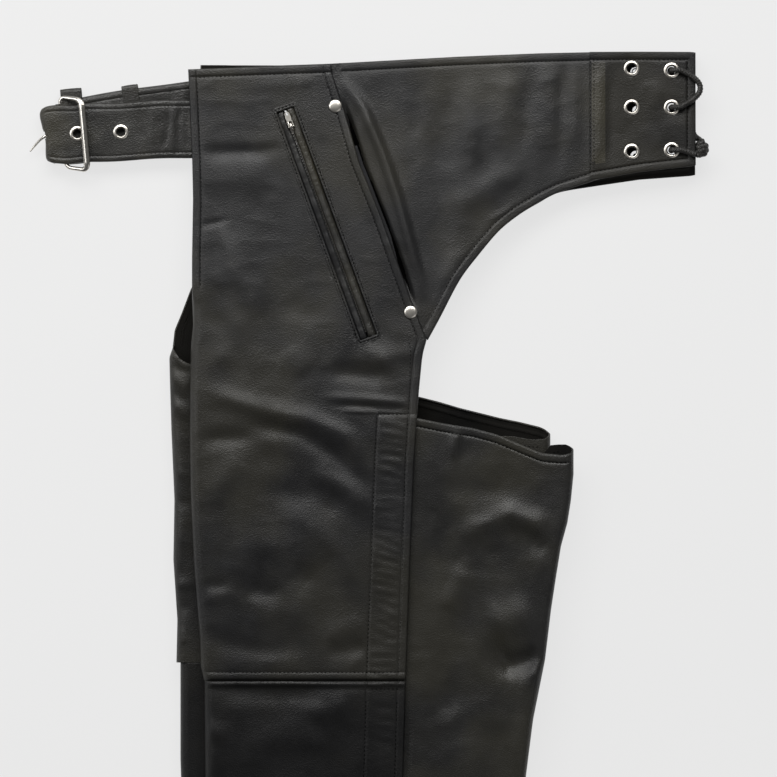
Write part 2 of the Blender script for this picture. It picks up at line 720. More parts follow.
RIVET = [(-24.5, 484.6), (32, 329.8)]
LACE_EYES = [[(198, 513), (198, 483.7), (198, 450.5), (228, 511.5), (228, 483.7), (228, 451.5)],
             [(201, 510.5), (202.5, 481.5), (201, 447.5), (228, 511.5), (228, 483.7), (228, 451.5)]]
ZIPX = [(252, 18.5), (265, 1.8)]
def zip_x(s, y):
    return ZIPX[s][1] - 0.0285 * (ZIPX[s][0] - np.asarray(y, float))
SNAPS = [[(float(zip_x(0, y)) + 11.2, y) for y in (-507, -467, -427)], [(float(zip_x(1, y)) + 11.2, y) for y in (-493, -453, -413)]]
PA = math.radians(20.15)
def pocket_xy(x, y):
    dx, dy = x + 30.8, y - 396.5
    return dx * math.cos(PA) + dy * math.sin(PA), -dx * math.sin(PA) + dy * math.cos(PA)
def pocket_pt(u, v):
    return -30.8 + u * math.cos(PA) - v * math.sin(PA), 396.5 + u * math.sin(PA) + v * math.cos(PA)

XL = [T([(516.5, -135.2), (512.6, -135), (477, -133.5), (445, -132), (415, -131.3), (370, -132), (346, -132), (320, -131.3), (305, -132.8),
         (273, -133.5), (241, -133.5), (197, -133), (142, -130.5), (86, -126), (64.5, -125.3), (53.8, -123)]),
      T([(518, -126), (430, -128), (355, -129), (347, -133.5), (329, -140.3), (316.5, -145.5), (303, -147), (296, -149.3), (282, -149),
         (241.5, -147.8), (189, -145.5), (144, -146.3), (99, -143.3), (66.8, -144)])]
XLL = [T([(53.6, -122.6), (-19, -122), (-150, -119), (-340, -113), (-527, -110.5)]),
       T([(66.6, -141), (-5, -141), (-136, -137), (-326, -131), (-513, -127.5)])]
XR = [T([(517, -28), (508, -26.5), (490, -20.5), (486, -18.8), (441, -6), (402, 9.8), (337.5, 33), (309, 44), (300, 41.5), (294, 40.5),
         (271.5, 38.3), (216, 34.5), (124, 30.8), (68, 28.9), (53.8, 28.4)]),
      T([(518, -28.5), (508.5, -27), (489.5, -20.5), (448.5, -7), (389.5, 12.5), (338, 33), (310, 43), (275, 23), (252, 20.9), (210, 18),
         (155, 15.5), (100, 13), (66.8, 11.6)])]
XRL = [T([(53.6, 28.4), (-19, 26.3), (-150, 23.5), (-340, 19), (-527, 14)]),
       T([(66.6, 11.5), (-5, 9.8), (-136, 7), (-326, 2.5), (-513, -2.5)])]
KNEE = (53.8, 66.8)
HEM = (-527.0, -513.0)
INSEAM = (-40, -56)
TOPX = [T([(-140, 512.4), (-66, 515), (-28, 516.3), (60, 517)]), T([(-140, 516.3), (-66, 516), (-28, 517.3), (60, 517.5)])]

W_FRONT = [([(-113, 398), (-104, 372), (-96, 346)], 5, 0.8), ([(-102, 402), (-88, 352)], 6, -0.45), ([(-127, 394), (-107, 399)], 2.4, -0.7), ([(4, 294), (38, 301)], 6, 0.7),
    ([(-121.5, 492), (-121, 410), (-121, 320)], 3.6, 0.5), ([(-60, 480), (-58, 470)], 8, 0.4), ([(-96, 470), (-80, 466)], 9, -0.4), ([(-84, 500), (-40, 503)], 5, 0.4), ([(-122, 271), (-80, 257), (-44, 250), (-17, 237), (2, 214)], 7, 1.8), ([(-90, 246), (-51, 238), (-28, 224), (-17, 214), (-4, 200)], 6, -1.5),
    ([(-126, 234), (-85, 237)], 7, -1.6), ([(-122, 190), (-106, 205), (-94, 221)], 9, 1.0), ([(-30, 266), (-6, 265), (31, 261.5)], 3.2, 0.9), ([(-26, 260.5), (30, 257.5)], 2.0, -0.8), ([(-16, 256), (6, 255.2)], 2.0, 0.4),
    ([(-28, 285), (13, 281)], 7, -1.5), ([(-76, 196), (-40, 193), (-17, 178)], 10, -1.5), ([(-43, 211), (-13, 196), (-1, 181)], 7, 1.4),
    ([(-122, 125), (-107, 125)], 4, -0.7), ([(-122, 116), (-100, 119)], 5, 0.55), ([(-92, 125), (-66, 116)], 8, -1.2), ([(-58, 136), (-42, 125)], 10, -1.2),
    ([(-88, 105), (-43, 103)], 12, 1.0), ([(-32, 88), (-2, 97)], 9, 1.1), ([(-30, 74), (-2, 80)], 6, -0.9), ([(-13, 63), (-4, 72)], 4, 0.5),
    ([(-126, 433), (-74, 431)], 12, 1.0), ([(-122, 448), (-70, 449)], 5, -0.9), ([(-126, 451), (-17, 455)], 4, -0.5),
    ([(-100, 399), (-92, 305), (-80, 275)], 12, 1.4), ([(-62, 302), (-45, 285)], 10, 1.0),
    ([(-118, 330), (-96, 300), (-88, 276)], 8, -0.7), ([(-110, 160), (-70, 156), (-30, 150)], 14, 0.6), ([(-60, 180), (-20, 150), (-6, 120)], 7, 0.6),
    ([(-120, 90), (-90, 78), (-50, 76)], 8, -0.7), ([(-118, 352), (-100, 366)], 9, 0.7), ([(-16, 320), (8, 296), (20, 286)], 6, 0.9),
    ([(-2, 330), (14, 308)], 5, -0.7), ([(-60, 340), (-40, 322)], 8, -0.5), ([(-96, 226), (-60, 216), (-30, 196)], 9, -0.6), ([(-80, 170), (-62, 130), (-60, 100)], 10, 0.6),
    ([(-116, 70), (-80, 66), (-40, 70)], 8, 0.7), ([(-100, 160), (-96, 130)], 9, 0.6), ([(-30, 150), (-22, 118)], 6, -0.5), ([(-118, 290), (-104, 300), (-96, 330)], 8, 0.6),
]
W_LOWER = [
    ([(-117, 46), (-32, 43)], 8, -1.5), ([(-43, 28), (-13, 37)], 9, 1.4), ([(-122, 19), (-107, 11)], 6, 1.2), ([(-90, 4), (-50, 12), (-20, 6)], 12, 0.9),
    ([(-112, -60), (-70, -48), (-20, -58)], 14, 0.9), ([(-100, -130), (-40, -140), (0, -128)], 16, -0.7), ([(-106, -215), (-60, -200), (-14, -210)], 15, 0.8),
    ([(-100, -300), (-50, -312)], 16, 0.7), ([(-60, -380), (-10, -370)], 14, -0.6), ([(-96, -440), (-50, -450), (0, -436)], 14, 0.7), ([(-40, -40), (-20, -100)], 14, 0.8),
    ([(-85, -90), (-76, -180)], 16, 0.8), ([(-50, -240), (-46, -350)], 16, 0.8), ([(-86, -350), (-80, -420)], 15, 0.7),
]
W_BACK = [([(66, 240), (64, 226)], 5, 0.7), ([(99, 181), (136, 169)], 8, 0.9), ([(74, 139), (106, 154)], 12, -0.7), ([(94, 89), (129, 101)], 12, 0.9), ([(86, 79), (106, 64), (124, 71)], 9, -0.9),
    ([(124, 64), (116, -16)], 9, 0.8), ([(39, 74), (67, 29)], 14, -0.7), ([(29, -16), (99, 4)], 20, 0.7), ([(65, 219), (65, 230), (67, 240)], 3, 1.2), ([(69, 161), (106, 179), (139, 166)], 8, 1.5), ([(121, 159), (133, 151)], 6, -1.0),
    ([(99, 64), (129, 71)], 8, -2.0), ([(124, 54), (131, 69)], 5, 1.5), ([(88, 99), (124, 106)], 12, 1.2), ([(59, 104), (74, 139)], 9, 1.2), ([(43, 76), (46, 39)], 10, 1.0),
    ([(52, 200), (78, 196), (110, 200)], 9, -0.8), ([(50, 20), (80, 30), (110, 22)], 12, 0.8), ([(60, -60), (100, -70)], 14, 0.9), ([(50, -150), (96, -140)], 14, -0.8),
    ([(50, -250), (90, -262)], 14, 0.9), ([(45, -350), (90, -340)], 14, -0.7), ([(45, -440), (92, -452)], 14, 0.8), ([(76, 0), (72, -90)], 12, 0.7), ([(70, -190), (68, -300)], 14, 0.7),
]
W_YOKE = [([(76, 506), (77, 440)], 8, 0.8), ([(62, 500), (64, 430)], 6, -0.5), ([(90, 398), (108, 408)], 3, 0.5), ([(48, 470), (60, 400), (60, 370)], 8, -0.5), ([(-16, 500), (-3, 482), (10, 451), (22, 416), (34, 372), (41, 345)], 4.6, 2.9), ([(-15, 470), (4, 416), (24, 361), (32, 338)], 4, -1.0),
    ([(105, 511), (99, 451)], 8, 0.9), ([(135, 517), (133, 451)], 8, 0.9), ([(156, 519), (155, 451)], 5, 0.8), ([(65, 406), (114, 440)], 9, 1.0),
    ([(60, 500), (52, 440), (58, 380)], 9, -0.8), ([(80, 480), (76, 420)], 8, 0.6), ([(120, 505), (117, 450)], 5, -0.6), ([(146, 510), (144, 440)], 4, -0.6),
    ([(40, 505), (36, 460)], 6, -0.6), ([(54, 350), (72, 378)], 6, 0.6),
]
W_TAB = [([(174, 516), (173, 440)], 5, 1.6), ([(183, 512), (182, 444)], 4, -0.9), ([(216, 500), (222, 474)], 5, 0.7), ([(211, 504), (215, 481)], 6, 0.7), ([(206, 470), (220, 452)], 7, 0.5), ([(186, 470), (190, 440)], 6, -0.5)]

W_STRIP = [([(-150, 283), (-134, 272)], 4, 1.3), ([(-150, 272), (-136, 262)], 3, -1.0), ([(-148, 258), (-134, 252)], 4, 0.9), ([(-150, 262), (-140, 258)], 3, 0.8),
    ([(-142, 240), (-141, 200)], 3.5, 1.0), ([(-147, 190), (-135, 184)], 4, -0.8), ([(-142, 170), (-142, 135)], 3.5, 0.9), ([(-147, 124), (-134, 127)], 4, 1.3), ([(-146, 110), (-135, 106)], 5, -1.2),
    ([(-143, 92), (-139, 80)], 5, 1.3), ([(-146, 212), (-134, 206)], 3, 0.6), ([(-148, 290), (-136, 284)], 2.2, -0.8)]

LEAD = (0.0, 0.35, 0.9, 1.6, 2.6, 4.0, 5.2, 5.7, 6.0, 6.3, 6.6, 7.1, 8.0, 9.6)
PLACK = (0.0, 0.35, 0.9, 1.6, 2.6, 4.0, 5.2, 5.7, 6.0, 6.3, 6.6, 7.1, 8.0, 9.6, 11.5, 13.5, 15.5, 17.5, 19.5, 21.5, 23.5, 25.3, 26.8, 27.9, 28.6, 29.1, 29.5, 29.9, 30.4, 31.2, 32.4)

def puckers(x, y, seed):
    """short horizontal puckers that the two rows of stitching draw up"""
    p = y + 3.0 * vnoise(x * 0.6, y, 14, seed) + 0.25 * x
    a = np.sin(2 * math.pi * p / 7.1 + 2.5 * vnoise(x * 0.5, y, 33, seed + 1)) * (0.5 + 0.5 * vnoise(x * 0.8, y, 16, seed + 2))
    return 0.4 * a + 0.27 * vnoise(x * 0.35, y * 1.6, 5.0, seed + 3)

def placket(x, y, dr, s, top):
    """raised double strip along the side opening: height to add"""
    inside = (dr < 29.5) & (y < top)
    soft = np.clip((29.5 - dr) / 2.0, 0, 1) * np.clip((top - y) / 2.0, 0, 1)
    h = 0.7 * soft
    h += np.where(inside, puckers(x, y, 31 + s) * np.clip((29 - dr) / 5, 0, 1) * np.clip((dr - 6.5) / 4, 0, 1), 0)
    h -= 0.55 * np.exp(-((dr - 29.5) / 0.7) ** 2) * (y < top)
    h -= 0.5 * np.exp(-((y - top) / 0.8) ** 2) * (dr < 29.5) * (dr > 6.3)
    return h

def leg_front(s):
    side = Side(s)
    n = side.n
    top_z = TOP - (0.0 if s == 0 else 0.0)
    crotch = (333, 296)[s]
    free = (346, 302)[s]
    ymax = (516.0, 517.0)[s]
    ys = dense(KNEE[s], ymax, 2.1, LEAD, (0, 0.35, 0.9, 1.6, 2.6, 4.0, 5.2, 6.0, 6.4, 7.0, 8), extra=(252.2, 252.7, 253.2, 253.8, 254.6))
    xl, xr = at(XL[s], ys), at(XR[s], ys)
    A = np.stack([xl, ys], 1); B = np.stack([xr, ys], 1)
    G = spread(A, B, LEAD, PLACK, 34)
    X, Y = G[..., 0], G[..., 1].copy()
    w = np.clip((ys - 484) / (ymax - 484), 0, 1)[:, None]
    Y += w * (at(TOPX[s], X) - (516.3 if s == 0 else 517.3))
    dl, dr = X - xl[:, None], xr[:, None] - X
    # which edges are sewn hems
    h = 1.38 * folds(X, Y, W_FRONT) + 1.1 * fine(X, Y, 11 + 40 * s)
    over_yoke = np.clip((dr < 45) * (Y > 300) * 1.0, 0, 1)
    h = np.where((over_yoke > 0) & (h < 0), h * 0.25, h)
    over_zip = (dr < 34) & (Y < 262)
    h = np.where(over_zip & (h < -0.5), -0.5 + 0.3 * (h + 0.5), h)
    u, v = pocket_xy(X, Y)
    pk = np.clip((np.maximum(np.abs(u) - 10.5, np.abs(v) - 95) + 2) / 10, 0.12, 1)
    h = h * pk * keepoff(X, Y, RIVET, 11)
    edge_l = np.clip((Y - free) / 6, 0, 1)
    h = h * (1 - (1 - np.clip(dl / 9, 0, 1)) * 0.7) * (1 - (1 - np.clip(dr / 6, 0, 1)) * 0.6)
    h += hem(dl, 6.3, 0.4, 0.5, 0.01) * edge_l
    h += np.where(dr < 9, hem(dr, 6.3, 0.5, 0.55, 1.3), 0)
    h += placket(X, Y, dr, s, 253.2)
    # the pocket slash gapes a little
    h += 2.6 * np.exp(-(dr / 8) ** 2) * np.clip((Y - 340) / 40, 0, 1) * np.clip((484 - Y) / 30, 0, 1)
    # top edge under the stitching of the belt line
    dt = at(TOPX[s], X) - Y
    h += np.where(dt < 9, hem(np.abs(dt), 6.3, 0.4, 0.5, 1.2), 0)
    # knee seam
    dk = Y - KNEE[s]
    h += np.where(dk < 10, 0.34 * np.exp(-((dk - 3.4) / 2.4) ** 2) - 0.36 * np.exp(-((dk - 6.3) / 0.9) ** 2) - 1.5 * np.exp(-(dk / 1.1) ** 2), 0)
    ztop = top_z - drop(Y, s)
    r = np.interp(Y, [crotch, crotch + 3, free, free + 6], [7.25, 6.6, 2.0, 1.3])
    arc = np.where(dl < r, r - np.sqrt(np.clip(r ** 2 - (r - np.minimum(dl, r)) ** 2, 0, None)), 0)
    Z = ztop + h * np.clip(dl / 5, 0.0, 1) - arc
    outer = np.stack([X, Y, Z], -1)
    # lower quarter of the fold, then the inner half to the inseam
    zb = 15.1
    cols = []
    for a in (100, 120, 140, 155, 170):
        t = math.radians(a)
        zc = (Z[:, 0] + zb) / 2 - 0.0
        rr = Z[:, 0] - zb
        cols.append(np.stack([xl + 7.25 * (1 - math.sin(t)), ys, zb + rr * (1 + math.cos(t))], 1))
    xin = [np.stack([xl + 7.25 + (INSEAM[s] - xl - 7.25) * k, ys, np.full(len(ys), zb) + 0.25 * vnoise(xl + 90 * k, ys, 30, 77)], 1) for k in np.linspace(0, 1, 26)]
    inner = np.stack((cols + xin)[::-1], 1)
    if s:
        ix, iy = inner[..., 0], inner[..., 1]
        hm = np.interp(ix, [-150, -147.5, -146, -142.5, -138.8, -134, -120, -60], [306, 304, 302, 296.5, 293.2, 291, 288, 280])
        hs = folds(ix, iy, W_STRIP) + 0.9 * fine(ix, iy, 27, 1.2) + 1.2 * np.exp(-((hm - iy - 2.6) / 1.8) ** 2) - 0.7 * np.exp(-((hm - iy - 5.6) / 1.0) ** 2)
        room = np.clip((-132.5 - ix) / 4, 0, 1)
        hs = np.where(hs > 0, hs * room, np.maximum(hs, -2.5))
        inner[..., 2] -= hs
        inner[..., 1] = np.minimum(iy, hm)
    P = np.concatenate([inner, outer], 1)
    fx, fy = face_xy(P)
    nin = inner.shape[1]
    keep = np.ones(fx.shape, bool)
    if s:
        fh = np.interp(fx, [-150, -147.5, -146, -142.5, -138.8, -134, -120, -60], [306, 304, 302, 296.5, 293.2, 291, 288, 280])
        keep[:, :nin - 1] &= fy[:, :nin - 1] < fh[:, :nin - 1] - 0.02
        keep[:, nin - 1] &= fy[:, nin - 1] < 304
    else:
        keep[:, :nin] &= fy[:, :nin] < crotch + 1
    uu, vv = pocket_xy(fx, fy)
    keep[:, nin:] &= ~((np.abs(uu[:, nin:]) < 7.9) & (np.abs(vv[:, nin:]) < 91.5))
    V, F = surf(P, keep, flip=True)
    V, F = side.fix(V, F)
    V, F = shell(V, F, 1.3)
    ob = make(f"{n}_front_leather", V, F, M_LEG, replaces=(f"{n}_front_panel",), slot="leg_leather")
    # stitching
    key = f"{n}_front"
    def run(path, lift=0.0, **k):
        Q = on_surface(outer, path, lift)
        if s:
            Q[:, 2] = 2 * ZM - Q[:, 2]
        stitch(key, Q, up=(0, 0, 1 if s == 0 else -1), **k)
    yy = np.arange(free + 2, 508, 6.0)
    run([(float(at(XL[s], y)) + 6.3, y) for y in yy])
    yy = np.concatenate([np.arange(312, 506, 6.0)])
    run([(float(at(XR[s], y)) - 6.6, y) for y in yy])
    if s == 0:
        run([(30.5, 309), (32, 300), (31.5, 285), (31.5, 271), (29.3, 240), (27.8, 216), (25.5, 124), (23.3, 71), (22.4, 58)])
        run([(6.5, 253), (3.8, 179), (1.6, 120), (0, 86), (-0.8, 58)])
        run([(7, 253.2), (31, 253.2)])
    else:
        run([(14, 252), (11.5, 210), (9, 155), (6.5, 100), (5, 72)])
        run([(-9, 252), (-14, 155), (-18, 72)])
    run([(float(at(XL[s], 60)) + 9, KNEE[s] + 6.3), (-60, KNEE[s] + 6.1), (float(at(XR[s], 60)) - 2, KNEE[s] + 6.3)])
    run([(float(at(XL[s], 510)) + 6, 506), (-66, 508.7), (-30, 510)])
    return ob, outer

def leg_lower(s):
    side = Side(s)
    n = side.n
    ys = dense(HEM[s], KNEE[s] - 0.2, 3.2, (0, 0.5, 1.3, 2.6, 4.5, 7, 9.5, 11, 11.8, 12.2, 12.8, 14), (0, 0.4, 1.0, 1.9, 2.8, 3.8, 5.2, 7, 9))
    xl, xr = at(XLL[s], ys), at(XRL[s], ys)
    G = spread(np.stack([xl, ys], 1), np.stack([xr, ys], 1), LEAD, PLACK, 34)
    X, Y = G[..., 0], G[..., 1]
    dl, dr = X - xl[:, None], xr[:, None] - X
    h = 1.5 * folds(X, Y, W_LOWER) + fine(X, Y, 19 + 40 * s, 1.15)
    h = np.where((dr < 34) & (h < -0.5), -0.5 + 0.3 * (h + 0.5), h)
    h *= keepoff(X, Y, SNAPS[s], 11) * (1 - (1 - np.clip(dl / 9, 0, 1)) * 0.7) * (1 - (1 - np.clip(dr / 6, 0, 1)) * 0.6)
    h += np.where(dr < 9, hem(dr, 6.3, 0.5, 0.55, 1.3), 0) + placket(X, Y, dr, s, 999)
    dk = KNEE[s] - Y
    h += np.where(dk < 12, 0.7 * np.exp(-((dk - 2.7) / 1.6) ** 2) - 0.5 * np.exp(-((dk - 6) / 1.6) ** 2) - 1.2 * np.exp(-(dk / 0.9) ** 2), 0)
    db = Y - HEM[s]
    h += np.where(db < 16, hem(db, 12, 0.45, 0.5, 1.2), 0)
    arc = np.where(dl < 7.25, 7.25 - np.sqrt(np.clip(7.25 ** 2 - (7.25 - np.minimum(dl, 7.25)) ** 2, 0, None)), 0)
    Z = TOP + h * np.clip(dl / 5, 0, 1) - arc
    outer = np.stack([X, Y, Z], -1)
    zb = 15.1
    cols = []
    for a in (100, 120, 140, 155, 170):
        t = math.radians(a)
        cols.append(np.stack([xl + 7.25 * (1 - math.sin(t)), ys, zb + (Z[:, 0] - zb) * (1 + math.cos(t))], 1))
    xin = [np.stack([xl + 7.25 + (INSEAM[s] - xl - 7.25) * k, ys, np.full(len(ys), zb) + 0.2 * vnoise(xl + 90 * k, ys, 30, 78)], 1) for k in np.linspace(0, 1, 26)]
    P = np.concatenate([np.stack((cols + xin)[::-1], 1), outer], 1)
    V, F = surf(P, None, flip=True)
    V, F = side.fix(V, F)
    V, F = shell(V, F, 1.3)
    ob = make(f"{n}_lower_leather", V, F, M_LOW, replaces=(f"{n}_lower_panel",), slot="leg_leather")
    key = f"{n}_lower"
    def run(path):
        Q = on_surface(outer, path)
        if s:
            Q[:, 2] = 2 * ZM - Q[:, 2]
        stitch(key, Q, up=(0, 0, 1 if s == 0 else -1))
    yy = np.arange(HEM[s] + 3, KNEE[s] - 7, 12.0)
    run([(float(at(XRL[s], y)) - 6.3, y) for y in yy])
    run([(float(at(XRL[s], y)) - 29.5, y) for y in yy])
    run([(float(at(XLL[s], HEM[s])) + 8, HEM[s] + 12.2), (float(at(XRL[s], HEM[s])) - 8, HEM[s] + 12.2)])
    if s == 0:
        run([(0.5, 47.6), (25, 47.6)])
    return ob, outer

BFX = [T([(260, 154), (217.5, 154.2), (189, 152.3), (172, 149.6), (154.5, 144.8), (131, 141), (106.5, 137.3), (69, 132.8), (54, 129.8), (24, 123.8),
          (-18, 118.5), (-150, 109), (-340, 103.5), (-527, 105.5)]),
       T([(290, 138.4), (254, 138), (210, 136), (155, 126), (100, 118), (67, 113.5), (-5, 102), (-136, 92.5), (-326, 87), (-513, 89)])]
B_OUT = [T([(20, 252), (36.8, 250.5), (54.8, 246.8), (78, 243), (95.3, 238.5), (112.5, 231.4), (129.8, 224.3), (144.8, 222.8), (156, 224.3)]),
         T([(5, 268), (20, 268), (39, 266.3), (54, 262.5), (69, 258), (84, 254.3), (99, 250.5), (114, 247.5), (129, 243.8), (140, 239)])]
B_IN = [T([(-40, 262), (0, 250), (60, 228), (112, 213), (128, 219), (137, 230), (147, 231), (156, 228.5)]),
        T([(-56, 278), (0, 262), (30, 250), (70, 238), (92, 236.5), (106.5, 237), (123.8, 234), (134.3, 234.8), (140, 237)])]

def leg_back(s):
    side = Side(s)
    n = side.n
    ylow = dense(HEM[s], 190.0, 3.0, (0, 0.5, 1.3, 2.6, 4.5, 7, 9.5, 11, 11.8, 12.2, 12.8, 14), ())
    ntop = 16
    near = np.array((9.6, 8.0, 7.1, 6.6, 6.3, 6.0, 5.7, 5.2, 4.0, 2.6, 1.6, 0.9, 0.35, 0.0))
    R = 5.75
    zo, zb = 26.6, 15.1
    # column stations: outer x fraction, fold angle, inner fraction
    outc = list(np.concatenate([[0, 0.01, 0.03, 0.06], np.linspace(0.09, 1, 46)]))
    foldc = [20, 40, 60, 75, 90, 105, 120, 140, 160]
    inc = list(np.linspace(0, 1, 34))
    def columns(ycol_out, ycol_in, yrow):
        """x and z for the row; yrow gives y per column"""
    X, Y, Z, KIND = [], [], [], []
    def top_y(kind, x, w):
        return (1 - w) * at(B_OUT[s], x) + w * at(B_IN[s], x)
    rows = [("abs", y) for y in ylow] + [("mid", k / ntop) for k in range(1, ntop)] + [("near", d) for d in near]
    for mode, val in rows:
        xs, ysr, zs = [], [], []
        ref = val if mode == "abs" else (190 + 40 * val if mode == "mid" else 232)
        xf = float(at(BFX[s], min(ref, 224 if s == 0 else 240)))
        x0 = float(zip_x(s, min(ref, 245))) + 6.5
        pts = [(x0 + (xf - R - x0) * c, zo, 0.0) for c in outc]
        pts += [(xf - R + R * math.sin(math.radians(a)), (zo + zb) / 2 + R * math.cos(math.radians(a)), (1 - math.cos(math.radians(a))) / 2) for a in foldc]
        pts += [(xf - R + (INSEAM[s] - xf + R) * c, zb, 1.0) for c in inc]
        for x, z, w in pts:
            ty = float(top_y(None, x, w))
            if mode == "abs":
                y = val
            elif mode == "mid":
                y = 190 + (ty - 9.6 - 190) * val
            else:
                y = ty - val
            # the fold's x follows the real y
            xx = x
            xs.append(xx); ysr.append(y); zs.append(z)
        X.append(xs); Y.append(ysr); Z.append(zs)
    X, Y, Z = np.array(X), np.array(Y), np.array(Z)
    no, nf = len(outc), len(foldc)
    W = np.array([0.0] * no + [(1 - math.cos(math.radians(a))) / 2 for a in foldc] + [1.0] * len(inc))[None, :] * np.ones_like(X)
    h = 1.8 * folds(X, Y, W_BACK) + 1.35 * fine(X, Y, 51 + 40 * s)
    xfold = at(BFX[s], np.minimum(Y, 224 if s == 0 else 240))
    df = xfold - X
    h *= keepoff(X, Y, SNAPS[s], 11) * np.clip(df / 12, 0, 1) ** 0.6
    under = X < at(XR[0] if s == 0 else XR[1], Y) + 3
    h = np.where(under, np.minimum(h, 0.0) * 0.6, h)
    topo = at(B_OUT[s], X) - Y
    topi = at(B_IN[s], X) - Y
    hh = np.where(topo < 9.6, hem(np.clip(topo, 0, 99), 6.3, 0.5, 0.6, 1.3), 0)
    db = Y - HEM[s]
    hh += np.where(db < 16, hem(db, 12, 0.45, 0.5, 1.2), 0)
    hi = np.where(topi < 9.6, hem(np.clip(topi, 0, 99), 6.3, 0.4, 0.5, 1.2), 0)
    Zo = Z + (h + hh) * (1 - W) ** 2
    # the inner half's leather shows its upper face, so its edge swells upwards
    Zo = Zo + np.where(W > 0.99, 0.2 * vnoise(X, Y, 26, 91) , 0)
    P = np.stack([X, Y, Zo], -1)
    V, F = surf(P, None, flip=True)
    V, F = side.fix(V, F)
    V, F = shell(V, F, 1.3)
    ob = make(f"{n}_back_leather", V, F, M_BACK, replaces=(f"{n}_back_panel",), slot="leg_leather")
    outer = P[:, :no + 3]
    key = f"{n}_back"
    def run(path, surface=outer, up=1, **k):
        Q = on_surface(surface, path)
        if s:
            Q[:, 2] = 2 * ZM - Q[:, 2]
        stitch(key, Q, up=(0, 0, up if s == 0 else -up), **k)
    xx = np.linspace(zip_x(s, 245) + 10, (150 if s == 0 else 134), 30)
    run([(x, float(at(B_OUT[s], x)) - 6.3) for x in xx])
    run([(float(zip_x(s, HEM[s])) + 30, HEM[s] + 12.2), (float(at(BFX[s], HEM[s])) - 8, HEM[s] + 12.2)])
    # stitching of the inner half, on the face that is seen from above
    inner = P[:, no + nf:]
    zin = inner.copy(); zin[..., 2] += 1.3
    xi = np.linspace(INSEAM[s] + 4, (146 if s == 0 else 130), 40)
    Q = on_surface(zin, [(x, float(at(B_IN[s], x)) - 5.5) for x in xi])
    if s:
        Q[:, 2] = 2 * ZM - inner[0, 0, 2] + 0 * Q[:, 2]
    stitch(key, Q, up=(0, 0, 1))
    return ob, outer

SEAT = [(24, 318), (45, 309), (54, 325.5), (69, 354), (84, 374), (99, 391.5), (114, 403.5), (129, 412.5), (144, 420)]
def yoke(s):
    side = Side(s)
    n = side.n
    seat = SEAT[1:] + [(176, 430.5 if s == 0 else 425.5)]
    Bp = cat([(x, y, 0) for x, y in seat], 12)[:, :2]
    L = np.concatenate([[0], np.cumsum(np.hypot(*np.diff(Bp, axis=0).T))])
    t = np.concatenate([np.linspace(0, 0.14, 46), np.linspace(0.14, 1, 74)[1:]]) * L[-1]
    B = np.stack([np.interp(t, L, Bp[:, 0]), np.interp(t, L, Bp[:, 1])], 1)
    f = t / L[-1]
    tx = np.interp(f, [0, 0.12, 0.45, 1.0], [-40, -8, 70, 176])
    Tp = np.stack([tx, np.interp(tx, [-40, 69, 129, 176], [516, 522, 524.5, 525.5])], 1)
    # a start column further left, under the front panel
    B = np.concatenate([[[24, 318.5]], B]); Tp = np.concatenate([[[-44, 515.8]], Tp])
    G = spread(B, Tp, LEAD, (0, 0.35, 0.9, 1.6, 2.6, 4.0, 5.2, 6.0, 6.4, 7.0, 8.5), 62)
    X, Y = G[..., 0], G[..., 1]
    d = poly_d(X, Y, seat)[0]
    dt = np.interp(X, [-40, 69, 129, 176], [516, 522, 524.5, 525.5]) - Y
    h = 1.5 * folds(X, Y, W_YOKE) + fine(X, Y, 71 + 40 * s, 1.05)
    gape = np.exp(-((X - at(XR[s], Y) - 1.0) / 2.5) ** 2) * np.clip((Y - 330) / 30, 0, 1) * np.clip((490 - Y) / 20, 0, 1) * (s == 0)
    under_front = X < at(XR[s], Y) - 1
    h = h * keepoff(X, Y, RIVET, 10)
    h *= np.clip((170 - X) / 12 + 0.25, 0.0, 1)
    h = np.where(under_front, np.minimum(h, 0), h)
    near_front = np.clip((X - at(XR[s], Y) + 1) / 5, 0, 1)
    h = np.where(h > 0, h * near_front, h)
    h += np.where(d < 9, hem(d, 6.3, 0.5, 0.55, 1.2), 0)
    h += np.where(dt < 9, hem(np.abs(dt), 6.3, 0.4, 0.5, 1.2), 0) * (X > -20)
    Z = (28.1 - 0.3) - drop(Y, s) + h - 5.2 * gape
    if s:
        Z = np.minimum(Z, 29.2)
    P = np.stack([X, Y, Z], -1)
    V, F = surf(P, None, flip=False)
    V, F = side.fix(V, F)
    V, F = shell(V, F, 1.25)
    ob = make(f"{n}_yoke_leather", V, F, M_YOKE, replaces=(f"{n}_back_yoke",), slot="yoke_leather")
    if s == 0:
        ob.data.materials.append(M_GAP)
        for f in ob.data.polygons:
            c = ob.matrix_world @ f.center * 1000
            if f.normal.z > 0 and 342 < c.y < 482 and abs(c.x - float(at(XR[s], c.y)) - 1.35) < 2.1 * min(1, (c.y - 342) / 25, (482 - c.y) / 25):
                f.material_index = len(ob.data.materials) - 1
    key = f"{n}_yoke"
    def run(path):
        Q = on_surface(P, path)
        if s:
            Q[:, 2] = 2 * ZM - Q[:, 2]
        stitch(key, Q, up=(0, 0, 1 if s == 0 else -1))
    seat_s = np.array(seat)
    tt = np.gradient(Bp, axis=0); tt /= np.linalg.norm(tt, axis=1, keepdims=True)
    off = Bp + np.stack([-tt[:, 1], tt[:, 0]], 1) * 6.3
    off = off[(off[:, 0] > 46) & (off[:, 0] < 166)]
    run(off.tolist())
    run([(-14, 511.2), (69, 515.7), (129, 518.2), (165, 519.2)])
    return ob, P

